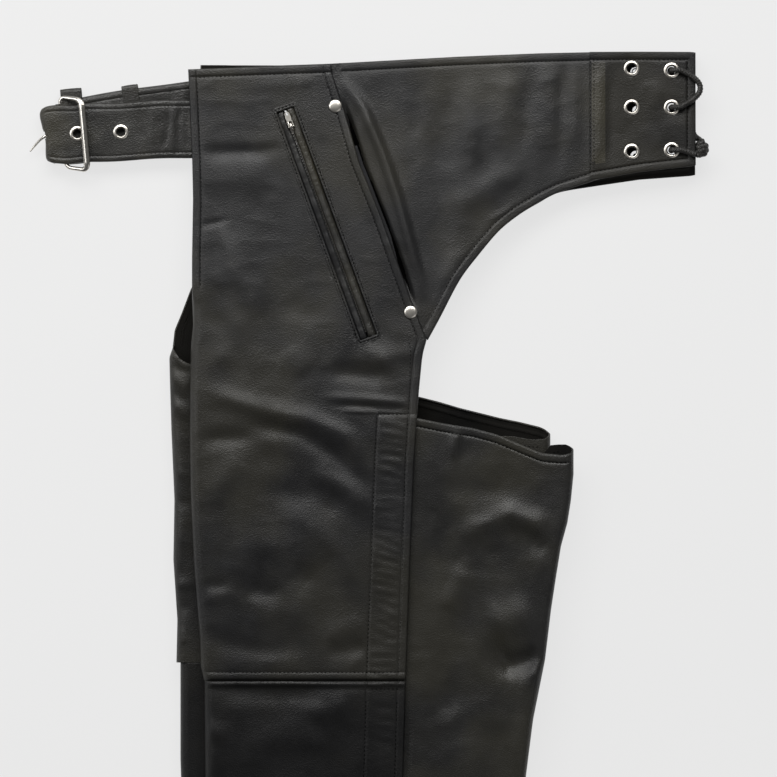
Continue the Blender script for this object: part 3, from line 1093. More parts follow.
def tab(s):
    side = Side(s)
    n = side.n
    lo = (-0.1, -5.1)[s]
    xs = dense(166.5, 246.0, 2.0, LEAD, LEAD)
    bot = np.interp(xs, [166.5, 204, 246], [428.5, 435, 439.6]) if s == 0 else np.interp(xs, [166.5, 204, 246], [424, 429.5, 432.6])
    top = np.interp(xs, [166.5, 204, 246], [525.4, 525.6, 525.4])
    corner = np.clip((xs - 241) / 5, 0, 1)
    bot = bot + 0.5 * corner ** 2; top = top - 0.5 * corner ** 2
    G = spread(np.stack([xs, bot], 1), np.stack([xs, top], 1), LEAD, LEAD, 34)
    X, Y = G[..., 0], G[..., 1]
    db, dt = Y - bot[:, None], top[:, None] - Y
    dl, dr = X - 166.5, 246 - X
    h = folds(X, Y, W_TAB) * 0.8 + fine(X, Y, 83 + 40 * s, 0.8)
    h *= keepoff(X, Y, LACE_EYES[s], 10) * np.clip(dr / 8, 0.1, 1)
    dd = np.minimum(np.minimum(db, dt), np.minimum(dl + 6.2, dr))
    h += np.where(dd < 9, hem(dd, 6.0, 0.22, 0.6, 0.5), 0)
    Z = 28.1 + lo + 1.7 - drop(Y, s) + h
    P = np.stack([X, Y, Z], -1)
    fx, fy = face_xy(P)
    keep = np.ones(fx.shape, bool)
    for p in LACE_EYES[s]:
        keep &= (fx - p[0]) ** 2 + (fy - p[1]) ** 2 > 4.4 ** 2
    V, F = surf(P, keep, flip=False)
    V, F = side.fix(V, F)
    V, F = shell(V, F, 1.5)
    ob = make(f"{n}_tab_leather", V, F, M_TAB, replaces=(f"{n}_lace_tab",), slot="yoke_leather")
    key = f"{n}_tab"
    def run(path):
        Q = on_surface(P, path)
        if s:
            Q[:, 2] = 2 * ZM - Q[:, 2]
        stitch(key, Q, up=(0, 0, 1 if s == 0 else -1))
    run([(167.5, 519.4), (240, 519.4)])
    run([(240, 518.5), (240, 446.5 if s == 0 else 440)])
    run([(239, 445.6 if s == 0 else 438.6), (204, 441.2 if s == 0 else 435.6), (168, 435 if s == 0 else 430)])
    if s == 0:
        run([(169.6, 434), (169.6, 521)])
        run([(167.0, 433), (167.0, 523)])
        ob.data.materials.append(M_WELT)
        for f in ob.data.polygons:
            c = ob.matrix_world @ f.center * 1000
            if f.normal.z > 0 and 442 < c.y < 518 and 168 < c.x < 178.5:
                f.material_index = len(ob.data.materials) - 1
    return ob, P

# ------------------------------------------------------------------ belt and buckle
FB, FT = np.array([-236.4, 441.7]), np.array([-240.4, 485.2])
FA = math.atan2(FT[1] - FB[1], FT[0] - FB[0]) - math.pi / 2
BZ = 6.7
HEEL = np.array([-229.5, 465.3, BZ])
def local(p, origin=HEEL, a=FA):
    """from the buckle's own directions to the frame"""
    x, y, z = p
    return np.array([origin[0] + x * math.cos(a) - y * math.sin(a), origin[1] + x * math.sin(a) + y * math.cos(a), origin[2] + z])

def strip_piece(name, A, B, Z, NZ, mat, body, repl, slot, edge_w=5.0, puff=0.9, thick=2.0, holes=(), hole_r=4.2, creases=(), seed=5, extra_mask=None, n_mid=14, key=None):
    """doubled strap from stations: A, B edge points, Z level of the outer face, NZ its upward direction (1, 0 or -1)"""
    near = (0, 0.35, 0.8, 1.4, 2.2, 3.2, 3.8, 4.2, 4.6, 5.2, 6.2)
    G = spread(A, B, near, near, n_mid)
    X, Y = G[..., 0], G[..., 1]
    d = np.minimum(np.linalg.norm(G - A[:, None], axis=-1), np.linalg.norm(G - B[:, None], axis=-1))
    h = 0.55 * vnoise(X, Y, 17, seed) + 0.3 * vnoise(X, Y, 7.5, seed + 1) + folds(X, Y, creases)
    h *= 0.7 * keepoff(X, Y, holes, 8)
    h += 0.5 * np.clip(d / 3.2, 0, 1) * (d < 4.2) - 0.5 * np.exp(-((d - 4.2) / 0.7) ** 2) + np.where(d > 4.2, 0.35, 0)
    rr = np.clip(1 - d / 1.3, 0, 1)
    h -= 1.3 * (1 - np.sqrt(1 - rr * rr)) * 0.85
    P = np.stack([X, Y, Z[:, None] + h * NZ[:, None]], -1)
    return P, d

def belt_tip():
    st = []
    u = np.array([-math.cos(FA), -math.sin(FA)])          # towards the fold
    for x in dense(112.0, 234.0, 1.7):
        k = (x - 112) / (236.4 - 112)
        a = np.array([-112 + (-236.4 + 112) * k, 446.6 + (441.7 - 446.6) * k])
        b = np.array([-112 + (-240.4 + 112) * k, 490.4 + (485.2 - 490.4) * k])
        q = math.exp(-((a[0] + 225) / 9) ** 2)
        a = a + np.array([0, -1.5 * q - 0.5 * math.sin(a[0] * 0.09)])
        b = b + np.array([0, -1.2 * math.exp(-((b[0] + 222) / 6) ** 2) + 0.5 * math.sin(b[0] * 0.11)])
        st.append((a, b, 12.0, 1.0))
    R = 5.3
    for ang in range(8, 180, 9):
        t = math.radians(ang)
        inn = np.array([-math.sin(FA), math.cos(FA)]) * (1.6 * (1 - math.cos(2 * t)) / 2 + 0.5)
        st.append((FB + u * R * math.sin(t) + inn, FT + u * (R + 1.2) * math.sin(t) - inn, BZ + R * math.cos(t), math.cos(t)))
    tipA = [(-236.4, 441.7), (-213, 446), (-186, 449.8), (-163, 453.2), (-153, 458.5), (-146.5, 466), (-142.5, 473), (-141.6, 476)]
    tipB = [(-240.4, 485.2), (-213, 488.6), (-186, 492.3), (-161, 495.2), (-152, 491.5), (-146, 486), (-142.6, 480.5), (-141.6, 478)]
    ta, tb = cat([(*p, 0) for p in tipA], 9)[:, :2], cat([(*p, 0) for p in tipB], 9)[:, :2]
    for a, b in zip(ta, tb):
        st.append((a, b, 1.4, -1.0))
    A = np.array([q[0] for q in st]); B = np.array([q[1] for q in st])
    Z = np.array([q[2] for q in st]); N = np.array([q[3] for q in st])
    holes = [(-185.6, 465.2), (-218.3, 464), (-202.5, 469.5)]
    cre = [([(-154, 452), (-150, 470), (-151, 486)], 1.3, -1.3), ([(-147, 450), (-145, 487)], 2.0, 1.0), ([(-141, 450), (-143, 470), (-139, 488)], 1.3, -1.4), ([(-163, 455), (-161, 483)], 2.5, 0.7), ([(-136, 452), (-136, 486)], 1.5, -1.0),
           ([(-205, 447), (-200, 482)], 4, 0.35), ([(-230, 447), (-232, 480)], 3, -0.4)]
    P, d = strip_piece("belt", A, B, Z, N, M_BELT, "garment", (), "belt_leather", holes=holes, creases=cre, seed=5)
    wv = (FT - FB) / np.linalg.norm(FT - FB)
    v = ((P[..., 0] - FB[0]) * wv[0] + (P[..., 1] - FB[1]) * wv[1]) / np.linalg.norm(FT - FB)
    pull = 1.2 * np.exp(-((v - 0.4) / 0.17) ** 2) + 2.4 * np.exp(-(v / 0.06) ** 2) + 2.6 * np.exp(-((v - 1) / 0.07) ** 2) - 0.7 * np.exp(-((v - 0.82) / 0.12) ** 2)
    P[..., :2] -= u * (pull * np.sqrt(np.clip(1 - N ** 2, 0, 1))[:, None])[..., None]
    # direction of the puff on the turn is outwards, not up
    turn = (np.abs(N) < 0.999)
    fx, fy = face_xy(P)
    nrow = np.arange(fx.shape[0])
    near_run = (nrow < int((N > 0.999).sum()))[:, None]
    ret_run = (nrow >= len(N) - len(ta))[:, None]
    keep = np.ones(fx.shape, bool)
    for p in holes[:2]:
        keep &= ~(((fx - p[0]) ** 2 + (fy - p[1]) ** 2 < 4.0 ** 2) & near_run)
    keep &= ~(((fx - holes[2][0]) ** 2 + (fy - holes[2][1]) ** 2 < 4.0 ** 2) & ret_run)
    zc = (P[:-1, :-1, 2] + P[1:, 1:, 2]) / 2
    mid = ~near_run & ~ret_run
    cy = 463.9
    keep &= ~(mid & (np.abs(fy - cy) < 2.7) & (np.abs(zc - BZ) < 3.0))
    V, F = surf(P, keep, flip=False)
    # rows run towards -X, so check the way the faces look
    n = normals(V, F)
    if n[np.argmax(V[:, 2]), 2] < 0:
        F = F[:, ::-1]
    V, F = shell(V, F, 1.9)
    ob = make("belt_tip_leather", V, F, M_BELT, replaces=("belt_tip_strap",), slot="belt_leather")
    runs = int((N > 0.999).sum())
    top = P[:runs]
    for f in (4.2,):
        stitch("belt", on_surface(top, [(-134, 445.8 + f), (-232, 442 + f)]), pitch=2.9, length=2.0, r=0.26, sink=0.3)
        stitch("belt", on_surface(top, [(-134, 489.5 - f), (-236, 485.4 - f)]), pitch=2.9, length=2.0, r=0.26, sink=0.3)
    return ob

def belt_buckle_side():
    bot = [(-229, 444.2), (-213, 444.5), (-185, 451), (-150, 457), (-112, 462)]
    top = [(-232, 486.8), (-213, 491), (-185, 496), (-150, 500.5), (-112, 506)]
    a = cat([(*p, 0) for p in bot], 20)[:, :2]; b = cat([(*p, 0) for p in top], 20)[:, :2]
    st = [(p, q, 6.5, 1.0) for p, q in zip(a[::-1], b[::-1])]
    u = np.array([-math.cos(FA), -math.sin(FA)])
    R = 2.7
    for ang in range(15, 180, 15):
        t = math.radians(ang)
        c = HEEL[:2] + u * R * math.sin(t)
        hv = np.array([-math.sin(FA), math.cos(FA)]) * 21.2
        st.append((c - hv, c + hv, BZ + R * math.cos(t) - (0.2 if ang < 60 else 0), 0.0))
    for p, q in zip(a[:36], b[:36]):
        st.append((p + np.array([1.5, 0]), q + np.array([1.5, 0]), 4.3, -0.3))
    A = np.array([q[0] for q in st]); B = np.array([q[1] for q in st])
    Z = np.array([q[2] for q in st]); N = np.array([q[3] for q in st])
    cre = [([(-200, 450), (-196, 492)], 3, 0.5), ([(-172, 455), (-168, 497)], 3, -0.5), ([(-150, 460), (-147, 500)], 2.2, -0.7), ([(-141, 460), (-138, 501)], 2.2, 0.7)]
    P, d = strip_piece("belt2", A, B, Z, N, M_BELT, "garment", (), "belt_leather", creases=cre, seed=15)
    fx, fy = face_xy(P)
    keep = np.ones(fx.shape, bool)
    # slot for the prong at the heel bar
    dx = (fx - HEEL[0]) * math.cos(FA) + (fy - HEEL[1]) * math.sin(FA)
    dy = -(fx - HEEL[0]) * math.sin(FA) + (fy - HEEL[1]) * math.cos(FA)
    keep &= ~((np.abs(dy) < 3.1) & (dx < 7.5) & (dx > -8))
    V, F = surf(P, keep, flip=False)
    n = normals(V, F)
    if n[np.argmax(V[:, 2]), 2] < 0:
        F = F[:, ::-1]
    V, F = shell(V, F, 1.0)
    ob = make("belt_buckle_leather", V, F, M_BELT, replaces=("belt_buckle_strap",), slot="belt_leather")
    topg = P[:len(a)]
    inset = lambda line, dy: [(p[0], p[1] + dy) for p in line]
    stitch("belt", on_surface(topg, inset(top[::-1], -4.4)), pitch=2.9, length=2.0)
    stitch("belt", on_surface(topg, inset(bot[::-1], 4.4)), pitch=2.9, length=2.0)
    return ob

def loop_band(name, x, w, yc, hw, a, body, repl, seed):
    """keeper: a flat band of leather bent round the strap"""
    ca, sa = math.cos(math.radians(a)), math.sin(math.radians(a))
    z0, z1, t = 0.0, 7.9, 1.1
    r = 2.4
    H = hw + 1.3
    path = []
    for cy, cz, a0 in ((H - r, z1 - r, 90), (-H + r, z1 - r, 180), (-H + r, z0 + r, 270), (H - r, z0 + r, 0)):
        for k in range(0, 91, 15):
            t1 = math.radians(a0 + k - 90 + 0)
            path.append((cy + r * math.cos(t1) if a0 in (90,) else cy + r * math.cos(math.radians(a0 + k - 90)), cz + r * math.sin(math.radians(a0 + k - 90))))
    # order: start top right corner going anticlockwise
    pts = []
    for cy, cz, a0 in ((H - r, z1 - r, 0), (-H + r, z1 - r, 90), (-H + r, z0 + r, 180), (H - r, z0 + r, 270)):
        for k in range(0, 91, 15):
            q = math.radians(a0 + k)
            pts.append((cy + r * math.cos(q), cz + r * math.sin(q)))
    dens = []
    for p, q in zip(pts, pts[1:] + pts[:1]):
        L = math.hypot(q[0] - p[0], q[1] - p[1])
        m = max(1, int(L / 1.6))
        for k in range(m):
            dens.append((p[0] + (q[0] - p[0]) * k / m, p[1] + (q[1] - p[1]) * k / m))
    C = np.array(dens); m = len(C)
    tn = np.roll(C, -1, 0) - np.roll(C, 1, 0)
    tn /= np.linalg.norm(tn, axis=1, keepdims=True)
    nr = np.stack([tn[:, 1], -tn[:, 0]], 1)
    prof = [(-w / 2 + 0.5, -t), (-w / 2 + 0.08, -t * 0.75), (-w / 2, -t * 0.4), (-w / 2 + 0.25, -0.08), (-w / 2 + 0.9, 0.12), (-w / 2 + 1.6, -0.12), (-w / 2 + 2.2, 0.1),
            (0, 0.22), (w / 2 - 2.2, 0.1), (w / 2 - 1.6, -0.12), (w / 2 - 0.9, 0.12), (w / 2 - 0.25, -0.08), (w / 2, -t * 0.4), (w / 2 - 0.08, -t * 0.75), (w / 2 - 0.5, -t)]
    V, F = [], []
    rng = np.random.RandomState(seed)
    k = len(prof)
    for i in range(m):
        for u, o in prof:
            oo = o + 0.12 * math.sin(i * 0.35 + seed) * (o > -0.5)
            y, z = C[i] + nr[i] * oo
            V.append((x + u * ca - y * sa, yc + u * sa + y * ca, z))
    for i in range(m):
        i2 = (i + 1) % m
        for j in range(k):
            j2 = (j + 1) % k
            F.append([i * k + j, i * k + j2, i2 * k + j2, i2 * k + j])
    V = np.array(V)
    F = np.array(F)
    n = normals(V, F)
    if n[np.argmax(V[:, 2]), 2] < 0:
        F = F[:, ::-1]
    return make(name, V, F, M_WELT, body, (repl,), "belt_leather")

def buckle():
    w, run, r, skew = 26.5, 18.4, 4.6, -4.0
    tilt = math.radians(28)
    pts, rad, wide = [], [], []
    def add(x, y, rr):
        pts.append((x, y)); rad.append(rr)
    for y in np.linspace(-w + r, w - r, 26):
        add(0, y, 1.5)
    for k in range(15, 90, 15):
        a = math.radians(k)
        add(r - r * math.cos(a), w - r + r * math.sin(a), 1.55)
    for x in np.linspace(r, run - r, 10):
        add(x, w, 1.5 + 0.35 * (x / run) ** 2)
    for k in range(15, 90, 15):
        a = math.radians(k)
        add(run - r + r * math.sin(a), w - r + r * math.cos(a), 1.85 + 0.9 * (k / 90) ** 1.5)
    for y in np.linspace(w - r, -w + r, 30):
        add(run, y, 2.75)
    for k in range(15, 90, 15):
        a = math.radians(k)
        add(run - r + r * math.cos(a), -w + r - r * math.sin(a), 2.75 - 0.9 * (k / 90) ** 0.7)
    for x in np.linspace(run - r, r, 10):
        add(x, -w, 1.5 + 0.35 * (x / run) ** 2)
    for k in range(15, 90, 15):
        a = math.radians(k)
        add(r - r * math.sin(a), -w + r - r * math.cos(a), 1.55)
    P = np.array([local((x * math.cos(tilt), y + skew * x / run, x * math.sin(tilt))) for x, y in pts])
    up = np.array([-math.sin(tilt) * math.cos(FA), -math.sin(tilt) * math.sin(FA), math.cos(tilt)])
    V, F = sweep(P, rad, 28, closed=True, flat=(1.0, 0.72), up0=up)
    ob = make("buckle_frame_wire", V, F, M_STEEL, "buckle_frame", ("buckle_frame",), "steel")
    # prong
    pr = [(-4, 0, 0), (-9, -0.9, 0), (-12.5, -1.7, 0), (-15, -2.6, -0.1), (-18, -4.7, -0.3), (-22, -8.4, -0.6), (-25.6, -12, -1)]
    Q = cat([local(p) for p in pr], 8)
    R = np.interp(np.linspace(0, 6, len(Q)), range(7), [1.45, 1.35, 1.25, 1.12, 1.0, 0.88, 0.6])
    Q = np.concatenate([Q, [Q[-1] + (Q[-1] - Q[-2]) * 0.6]]); R = np.append(R, 0.22)
    t = sweep(Q, R, 20)
    ring = []
    for k in range(0, 36):
        a = 2 * math.pi * k / 36
        ring.append(local((2.15 * math.cos(a), 0, 2.15 * math.sin(a))))
    rv = sweep(ring, 0.62, 14, closed=True, flat=(3.3, 1.0), up0=(0, 0, 1))
    # the ring's width lies along the bar
    neck = sweep(cat([local((-2.4, 0, 0)), local((-3.4, 0, 0)), local((-4.6, 0, 0))], 4), [1.2] * 9, 16, flat=(1.15, 1.0))
    V, F = joined([t, rv, neck])
    make("buckle_prong_wire", V, F, M_STEEL, "buckle_prong", ("buckle_prong",), "steel")

# ------------------------------------------------------------------ metal trim
def eyelet_prof(ri, ro, h):
    """domed flange, open in the middle"""
    r = ri + 0.55
    return [(r, -0.9), (r - 0.02, 0.0), (r + 0.1, 0.45), (r + 0.4, 0.72), (r + 0.8, 0.76), (r + 1.2, 0.64), (ro - 0.45, 0.42), (ro - 0.12, 0.22), (ro, 0.0), (ro - 0.1, -0.28), (r + 0.3, -0.34), (r + 0.25, -0.9), (r, -0.9)]
def barrel_prof(ri, h):
    return [(ri + 0.2, -h), (ri + 0.1, -h + 0.3), (ri + 0.1, -0.5), (ri + 0.22, 0.1), (ri + 0.5, 0.25), (ri + 0.56, 0.0), (ri + 0.56, -h + 0.2), (ri + 0.9, -h - 0.1), (ri + 0.6, -h - 0.25), (ri + 0.2, -h)]

WN = [(0, math.sin(math.radians(3.5)), math.cos(math.radians(3.5))), (0, 0, 1)]
def wz(y, local_z, s=0):
    z = 28.1 + local_z - float(drop(y, s))
    return z if s == 0 else 2 * ZM - z

def hardware():
    for s, n in ((0, "left"), (1, "right")):
        nz = np.array(WN[s]) * (1 if s == 0 else -1)
        parts = []
        lo = (-0.1, -5.1)[s]
        for p in LACE_EYES[s]:
            parts.append(lathe(eyelet_prof(3.2, 6.0, 2.1), (p[0], p[1], wz(p[1], lo + 1.7, s) + (0.35 if s == 0 else -0.1)), nz, 56))
        V, F = joined(parts)
        make(f"{n}_eyelet_rings", V, F, (M_NICKEL, M_SHADE)[s], "garment", (f"{n}_lace_eyelets",), "nickel")
        V, F = joined([lathe(barrel_prof(3.2 if s == 0 else (2.0 if p[1] > 500 else 0.9), 2.0), (p[0], p[1], wz(p[1], lo + 1.7, s) + (0.35 if s == 0 else -0.1)), nz, 40) for p in LACE_EYES[s]])
        make(f"{n}_eyelet_barrels", V, F, (M_BARREL, M_GAP)[s], "garment", (), "nickel")
        parts = []
        for p in RIVET:
            c = wz(p[1], 1.55, s) + 0.2 if s == 0 else wz(p[1], 0.05, s)
            parts.append(lathe([(0.9, -3.6), (1.1, -3.2), (1.2, -0.2), (4.3, -0.25), (4.85, -0.05), (4.95, 0.25), (4.8, 0.62), (4.3, 0.98), (3.4, 1.28), (2.2, 1.46), (1.0, 1.52), (0, 1.53)],
                               (p[0], p[1], c), nz, 56))
            b = wz(p[1], -3.0, s)
            parts.append(lathe([(0, -0.15), (3.4, -0.1), (4.1, 0.15), (4.2, 0.4), (3.8, 0.65), (1.4, 0.8), (1.3, 1.2), (0, 1.2)], (p[0], p[1], b), nz, 40))
        V, F = joined(parts)
        make(f"{n}_rivet_caps", V, F, M_NICKEL, "garment", (f"{n}_pocket_rivets",), "nickel")
        parts, studs = [], []
        for p in SNAPS[s]:
            z = TOP if s == 0 else 0.0
            up = (0, 0, 1 if s == 0 else -1)
            if s == 1:
                z = 1.4
            parts.append(lathe([(0.9, -2.4), (4.4, -2.4), (4.5, -1.7), (1.7, -1.6), (1.6, 0), (5.9, 0.02), (6.25, 0.22), (6.1, 0.6), (5.4, 1.0), (4.2, 1.28), (3.6, 1.22), (3.0, 1.3), (1.5, 1.42), (0, 1.45)], (p[0], p[1], z), up, 56))
            zz = 25.1 if s == 0 else 2 * ZM - 25.1
            studs.append(lathe([(0, -0.75), (4.4, -0.72), (4.95, -0.5), (4.9, -0.2), (1.6, -0.1), (1.5, 1.55), (3.9, 1.6), (3.8, 1.85), (0.9, 1.95), (0.85, 2.5), (0.5, 2.75), (0, 2.78)], (p[0], p[1], zz), up, 40))
        V, F = joined(parts)
        make(f"{n}_snap_domes", V, F, M_NICKEL, "garment", (f"{n}_hem_snap_caps",), "nickel")
        V, F = joined(studs)
        make(f"{n}_snap_posts", V, F, M_STEEL, "garment", (f"{n}_hem_snap_studs",), "steel")
    parts = []
    for p in ((-185.6, 465.2), (-218.3, 464)):
        parts.append(lathe(eyelet_prof(2.9, 5.8, 2.4), (p[0], p[1], 12.35), (0, 0, 1), 56))
        parts.append(lathe([(2.9, 0.1), (3.0, -0.25), (3.5, -0.45), (5.1, -0.3), (5.3, 0.0), (2.9, 0.1)], (p[0], p[1], 9.9), (0, 0, 1), 40))
    parts.append(lathe(eyelet_prof(2.9, 5.8, 2.4), (-202.5, 469.5, 1.15), (0, 0, -1), 56))
    V, F = joined([lathe(barrel_prof(2.9, 2.2), (p[0], p[1], 12.35), (0, 0, 1), 40) for p in ((-185.6, 465.2), (-218.3, 464))])
    make("belt_eyelet_barrels", V, F, M_BARREL, "garment", (), "nickel")
    V, F = joined(parts)
    make("belt_eyelet_rings", V, F, M_NICKEL, "garment", ("belt_eyelets",), "nickel")

# ------------------------------------------------------------------ pocket
def rect_path(hx, hy, r, step=2.0):
    pts = []
    for cx, cy, a0 in ((hx - r, hy - r, 0), (-hx + r, hy - r, 90), (-hx + r, -hy + r, 180), (hx - r, -hy + r, 270)):
        for k in range(0, 91, 15):
            a = math.radians(a0 + k)
            pts.append((cx + r * math.cos(a), cy + r * math.sin(a)))
    out = []
    for p, q in zip(pts, pts[1:] + pts[:1]):
        L = math.hypot(q[0] - p[0], q[1] - p[1])
        m = max(1, int(L / step))
        out += [(p[0] + (q[0] - p[0]) * k / m, p[1] + (q[1] - p[1]) * k / m) for k in range(m)]
    return np.array(out)

def pocket(s):
    side = Side(s)
    n = side.n
    zl = 28.1 if s == 0 else 28.1
    def place(u, v, lz):
        x, y = pocket_pt(u, v)
        return np.array([x, y, 28.1 + lz - float(drop(y, s))])
    # raised frame sewn round the opening
    C = rect_path(8.5, 93.0, 2.2, 1.8)
    m = len(C)
    tn = np.roll(C, -1, 0) - np.roll(C, 1, 0); tn /= np.linalg.norm(tn, axis=1, keepdims=True)
    nr = np.stack([tn[:, 1], -tn[:, 0]], 1)
    top = 1.5 if s == 0 else 1.35
    prof = [(-1.9, top - 1.4), (-2.0, top - 0.3), (-1.8, top + 0.35), (-1.4, top + 0.62), (-0.8, top + 0.6), (-0.2, top + 0.36), (0.15, top + 0.12), (0.5, top + 0.3), (1.15, top + 0.28),
            (1.7, top + 0.12), (1.95, top - 0.2), (2.0, top - 0.6)]
    V, F = [], []
    k = len(prof)
    for i in range(m):
        wob = 0.16 * math.sin(i * 0.41 + 1.3 * math.sin(i * 0.13)) + 0.1 * math.sin(i * 1.07)
        for o, z in prof:
            q = C[i] + nr[i] * (o + 0.25 * wob)
            lift = wob * 0.6 * (z > top)
            V.append(place(q[0], q[1], z + lift if s == 0 else min(z + lift, 1.48)))
    for i in range(m):
        i2 = (i + 1) % m
        for j in range(k - 1):
            F.append([i * k + j, i * k + j + 1, i2 * k + j + 1, i2 * k + j])
    V, F = np.array(V), np.array(F)
    nn = normals(V, F)
    if nn[np.argmax(V[:, 2] + SLOPE * V[:, 1] * (s == 0)), 2] < 0:
        F = F[:, ::-1]
    V2, F2 = side.fix(V, F)
    V2, F2 = shell(V2, F2, 0.5)
    make(f"{n}_pocket_frame_leather", V2, F2, M_LEG, "garment", (), "leg_leather")
    Q = np.array([place(*C[i], top + (0.55 if s == 0 else 0.1)) for i in list(range(m)) + [0]])
    if s:
        Q[:, 2] = 2 * ZM - Q[:, 2]
    stitch(f"{n}_pocket", Q, up=(0, 0, 1 if s == 0 else -1), pitch=2.8, length=1.9)
    # two padded lips that meet over the zip
    for sgn, wid, nm in ((-1, 5.3, "inner"), (1, 6.1, "outer")):
        ts = np.linspace(-91.6, 91.6, 122)
        gap = 0.55 if s == 0 else 0.8
        rows = []
        for t in ts:
            e = np.clip((91.6 - abs(t)) / 3.0, 0.0, 1) ** 0.5
            bow = 0.35 * math.sin(t * 0.05) + 0.18 * math.sin(t * 0.19 + sgn)
            op = (1.1 * math.exp(-((t - 82) / 9) ** 2) + 0.35 * math.exp(-((t - 55) / 18) ** 2)) * (s == 0) - 0.6 * sgn * (s == 0)
            x0 = gap + op
            row = []
            for f, hh in ((0, -1.6), (0.0, -0.7), (0.02, 0.1), (0.1, 0.75), (0.22, 1.15), (0.4, 1.3), (0.58, 1.2), (0.75, 0.85), (0.9, 0.35), (1.02, -0.2), (1.05, -1.2)):
                u = sgn * (x0 + wid * f) + 0.0
                z = 0.1 + ((hh * (1.35 if sgn > 0 else 0.8)) + (bow if hh > 0 else 0)) * (0.4 + 0.6 * e)
                z += 0.14 * math.sin(t * 0.9 + 3 * math.sin(t * 0.21)) * (hh > 0.5)
                if s:
                    z = min(z, 1.3)
                row.append(place(u, t, z))
            rows.append(row)
        P = np.array(rows)
        V, F = surf(P)
        nn = normals(V, F)
        if nn[:, 2].sum() < 0:
            F = F[:, ::-1]
        V, F = side.fix(V, F)
        V, F = shell(V, F, 0.7)
        make(f"{n}_pocket_lip_{nm}", V, F, M_WELT if sgn > 0 else M_LIP, "garment", (f"{n}_pocket_welts",), "trim_leather")
    # zip: tapes, teeth, slider, pull
    Z0 = -3.2
    for sgn, nm in ((-1, "a"), (1, "b")):
        ts = np.linspace(-89, 87, 110)
        P = np.array([[place(sgn * u, t, Z0 + 0.3 + 0.08 * math.sin(t * 1.3)) for u in (0.9, 2.5, 2.7, 5.0, 8.0, 10.5, 12.3, 12.5)] for t in ts])
        V, F = surf(P)
        if normals(V, F)[:, 2].sum() < 0:
            F = F[:, ::-1]
        V, F = side.fix(V, F); V, F = shell(V, F, 0.55)
        make(f"{n}_pocket_tape_{nm}", V, F, M_TAPE, "garment", (f"{n}_pocket_zip_tape",), "zip_tape")
    teeth(f"{n}_pocket_zip_coil", lambda u, v, z: place(u, v, Z0 + z), -86, 84, 2.2, 1.6, 2.4, (f"{n}_pocket_zip_teeth",), side)
    def pl(p):
        q = place(p[0], 73 + p[1], Z0 + p[2])
        if s:
            q[2] = 2 * ZM - q[2]
        return q
    zip_slider(f"{n}_pocket_slider_body", pl, 2.5, 8.0, 10.0, 1.6, s == 0, f"{n}_pocket_slider", f"{n}_pocket_zip_slider")
    if s == 0:
        pull_tab(f"{n}_pocket_pull_tab", pl, [(4.4, 5.45)], 5.45, 14.6, 4.4, 4.4, 1.0, f"{n}_pocket_pull", f"{n}_pocket_zip_pull", cross=True, sign=-1)
    else:
        pull_tab(f"{n}_pocket_pull_tab", pl, [(6.8, 2.6)], 2.6, -9, 6.8, 4.0, 0.6, f"{n}_pocket_pull", f"{n}_pocket_zip_pull", cross=False)

def teeth(name, pl, y0, y1, pitch, t, hw, repl, side, slot="zip_teeth"):
    """interlocked teeth: small rounded blocks from each side in turn"""
    V, F = [], []
    nt = int((y1 - y0) / pitch)
    for k in range(nt * 2):
        y = y0 + k * pitch / 2
        sg = 1 if k % 2 else -1
        a, b = sg * (-0.55), sg * hw
        hl = pitch * 0.21
        base = len(V)
        for z, m in ((-t / 2, 0.72), (-t * 0.2, 1.0), (t * 0.2, 1.0), (t / 2, 0.72)):
            for u, v in ((a, -hl * m), (sg * hw * 0.45, -hl * m * 1.15), (b, -hl * m * 0.8), (b, hl * m * 0.8), (sg * hw * 0.45, hl * m * 1.15), (a, hl * m)):
                V.append(pl(u, y + v, z))
        for r in range(3):
            for c in range(6):
                c2 = (c + 1) % 6
                q = [base + r * 6 + c, base + r * 6 + c2, base + (r + 1) * 6 + c2, base + (r + 1) * 6 + c]
                F.append(q if sg > 0 else q[::-1])
        bot = [base + c for c in range(6)]; topf = [base + 18 + c for c in range(6)]
        F.append(bot[::-1] if sg > 0 else bot); F.append(topf if sg > 0 else topf[::-1])
    V = np.array(V)
    if side.s:
        V[:, 2] = 2 * ZM - V[:, 2]
        F = [f[::-1] for f in F]
    return make(name, V, F, M_TEETH, "garment", repl, slot, smooth=False)

def plate(pl, outline, z0, z1, bev=0.18):
    """flat plate with bevelled edges"""
    c = np.mean(outline, 0)
    o = np.array(outline, float)
    inn = o + (c - o) / (np.linalg.norm(c - o, axis=1, keepdims=True) + 1e-9) * bev
    m = len(o)
    V = [pl((x, y, z0)) for x, y in inn] + [pl((x, y, z0 + bev)) for x, y in o] + [pl((x, y, z1 - bev)) for x, y in o] + [pl((x, y, z1)) for x, y in inn]
    F = []
    for r in range(3):
        for k in range(m):
            k2 = (k + 1) % m
            F.append([r * m + k, r * m + k2, (r + 1) * m + k2, (r + 1) * m + k])
    F.append([k for k in range(m)][::-1]); F.append([3 * m + k for k in range(m)])
    return V, F

def rounded(pts, r=0.6, n=4):
    out = []
    P = [np.array(p, float) for p in pts]
    for i in range(len(P)):
        a, b, c = P[i - 1], P[i], P[(i + 1) % len(P)]
        u, v = a - b, c - b
        lu, lv = np.linalg.norm(u), np.linalg.norm(v)
        rr = min(r, lu * 0.45, lv * 0.45)
        p, q = b + u / lu * rr, b + v / lv * rr
        for k in range(n + 1):
            t = k / n
            out.append((1 - t) ** 2 * p + 2 * t * (1 - t) * b + t * t * q)
    return np.array(out)

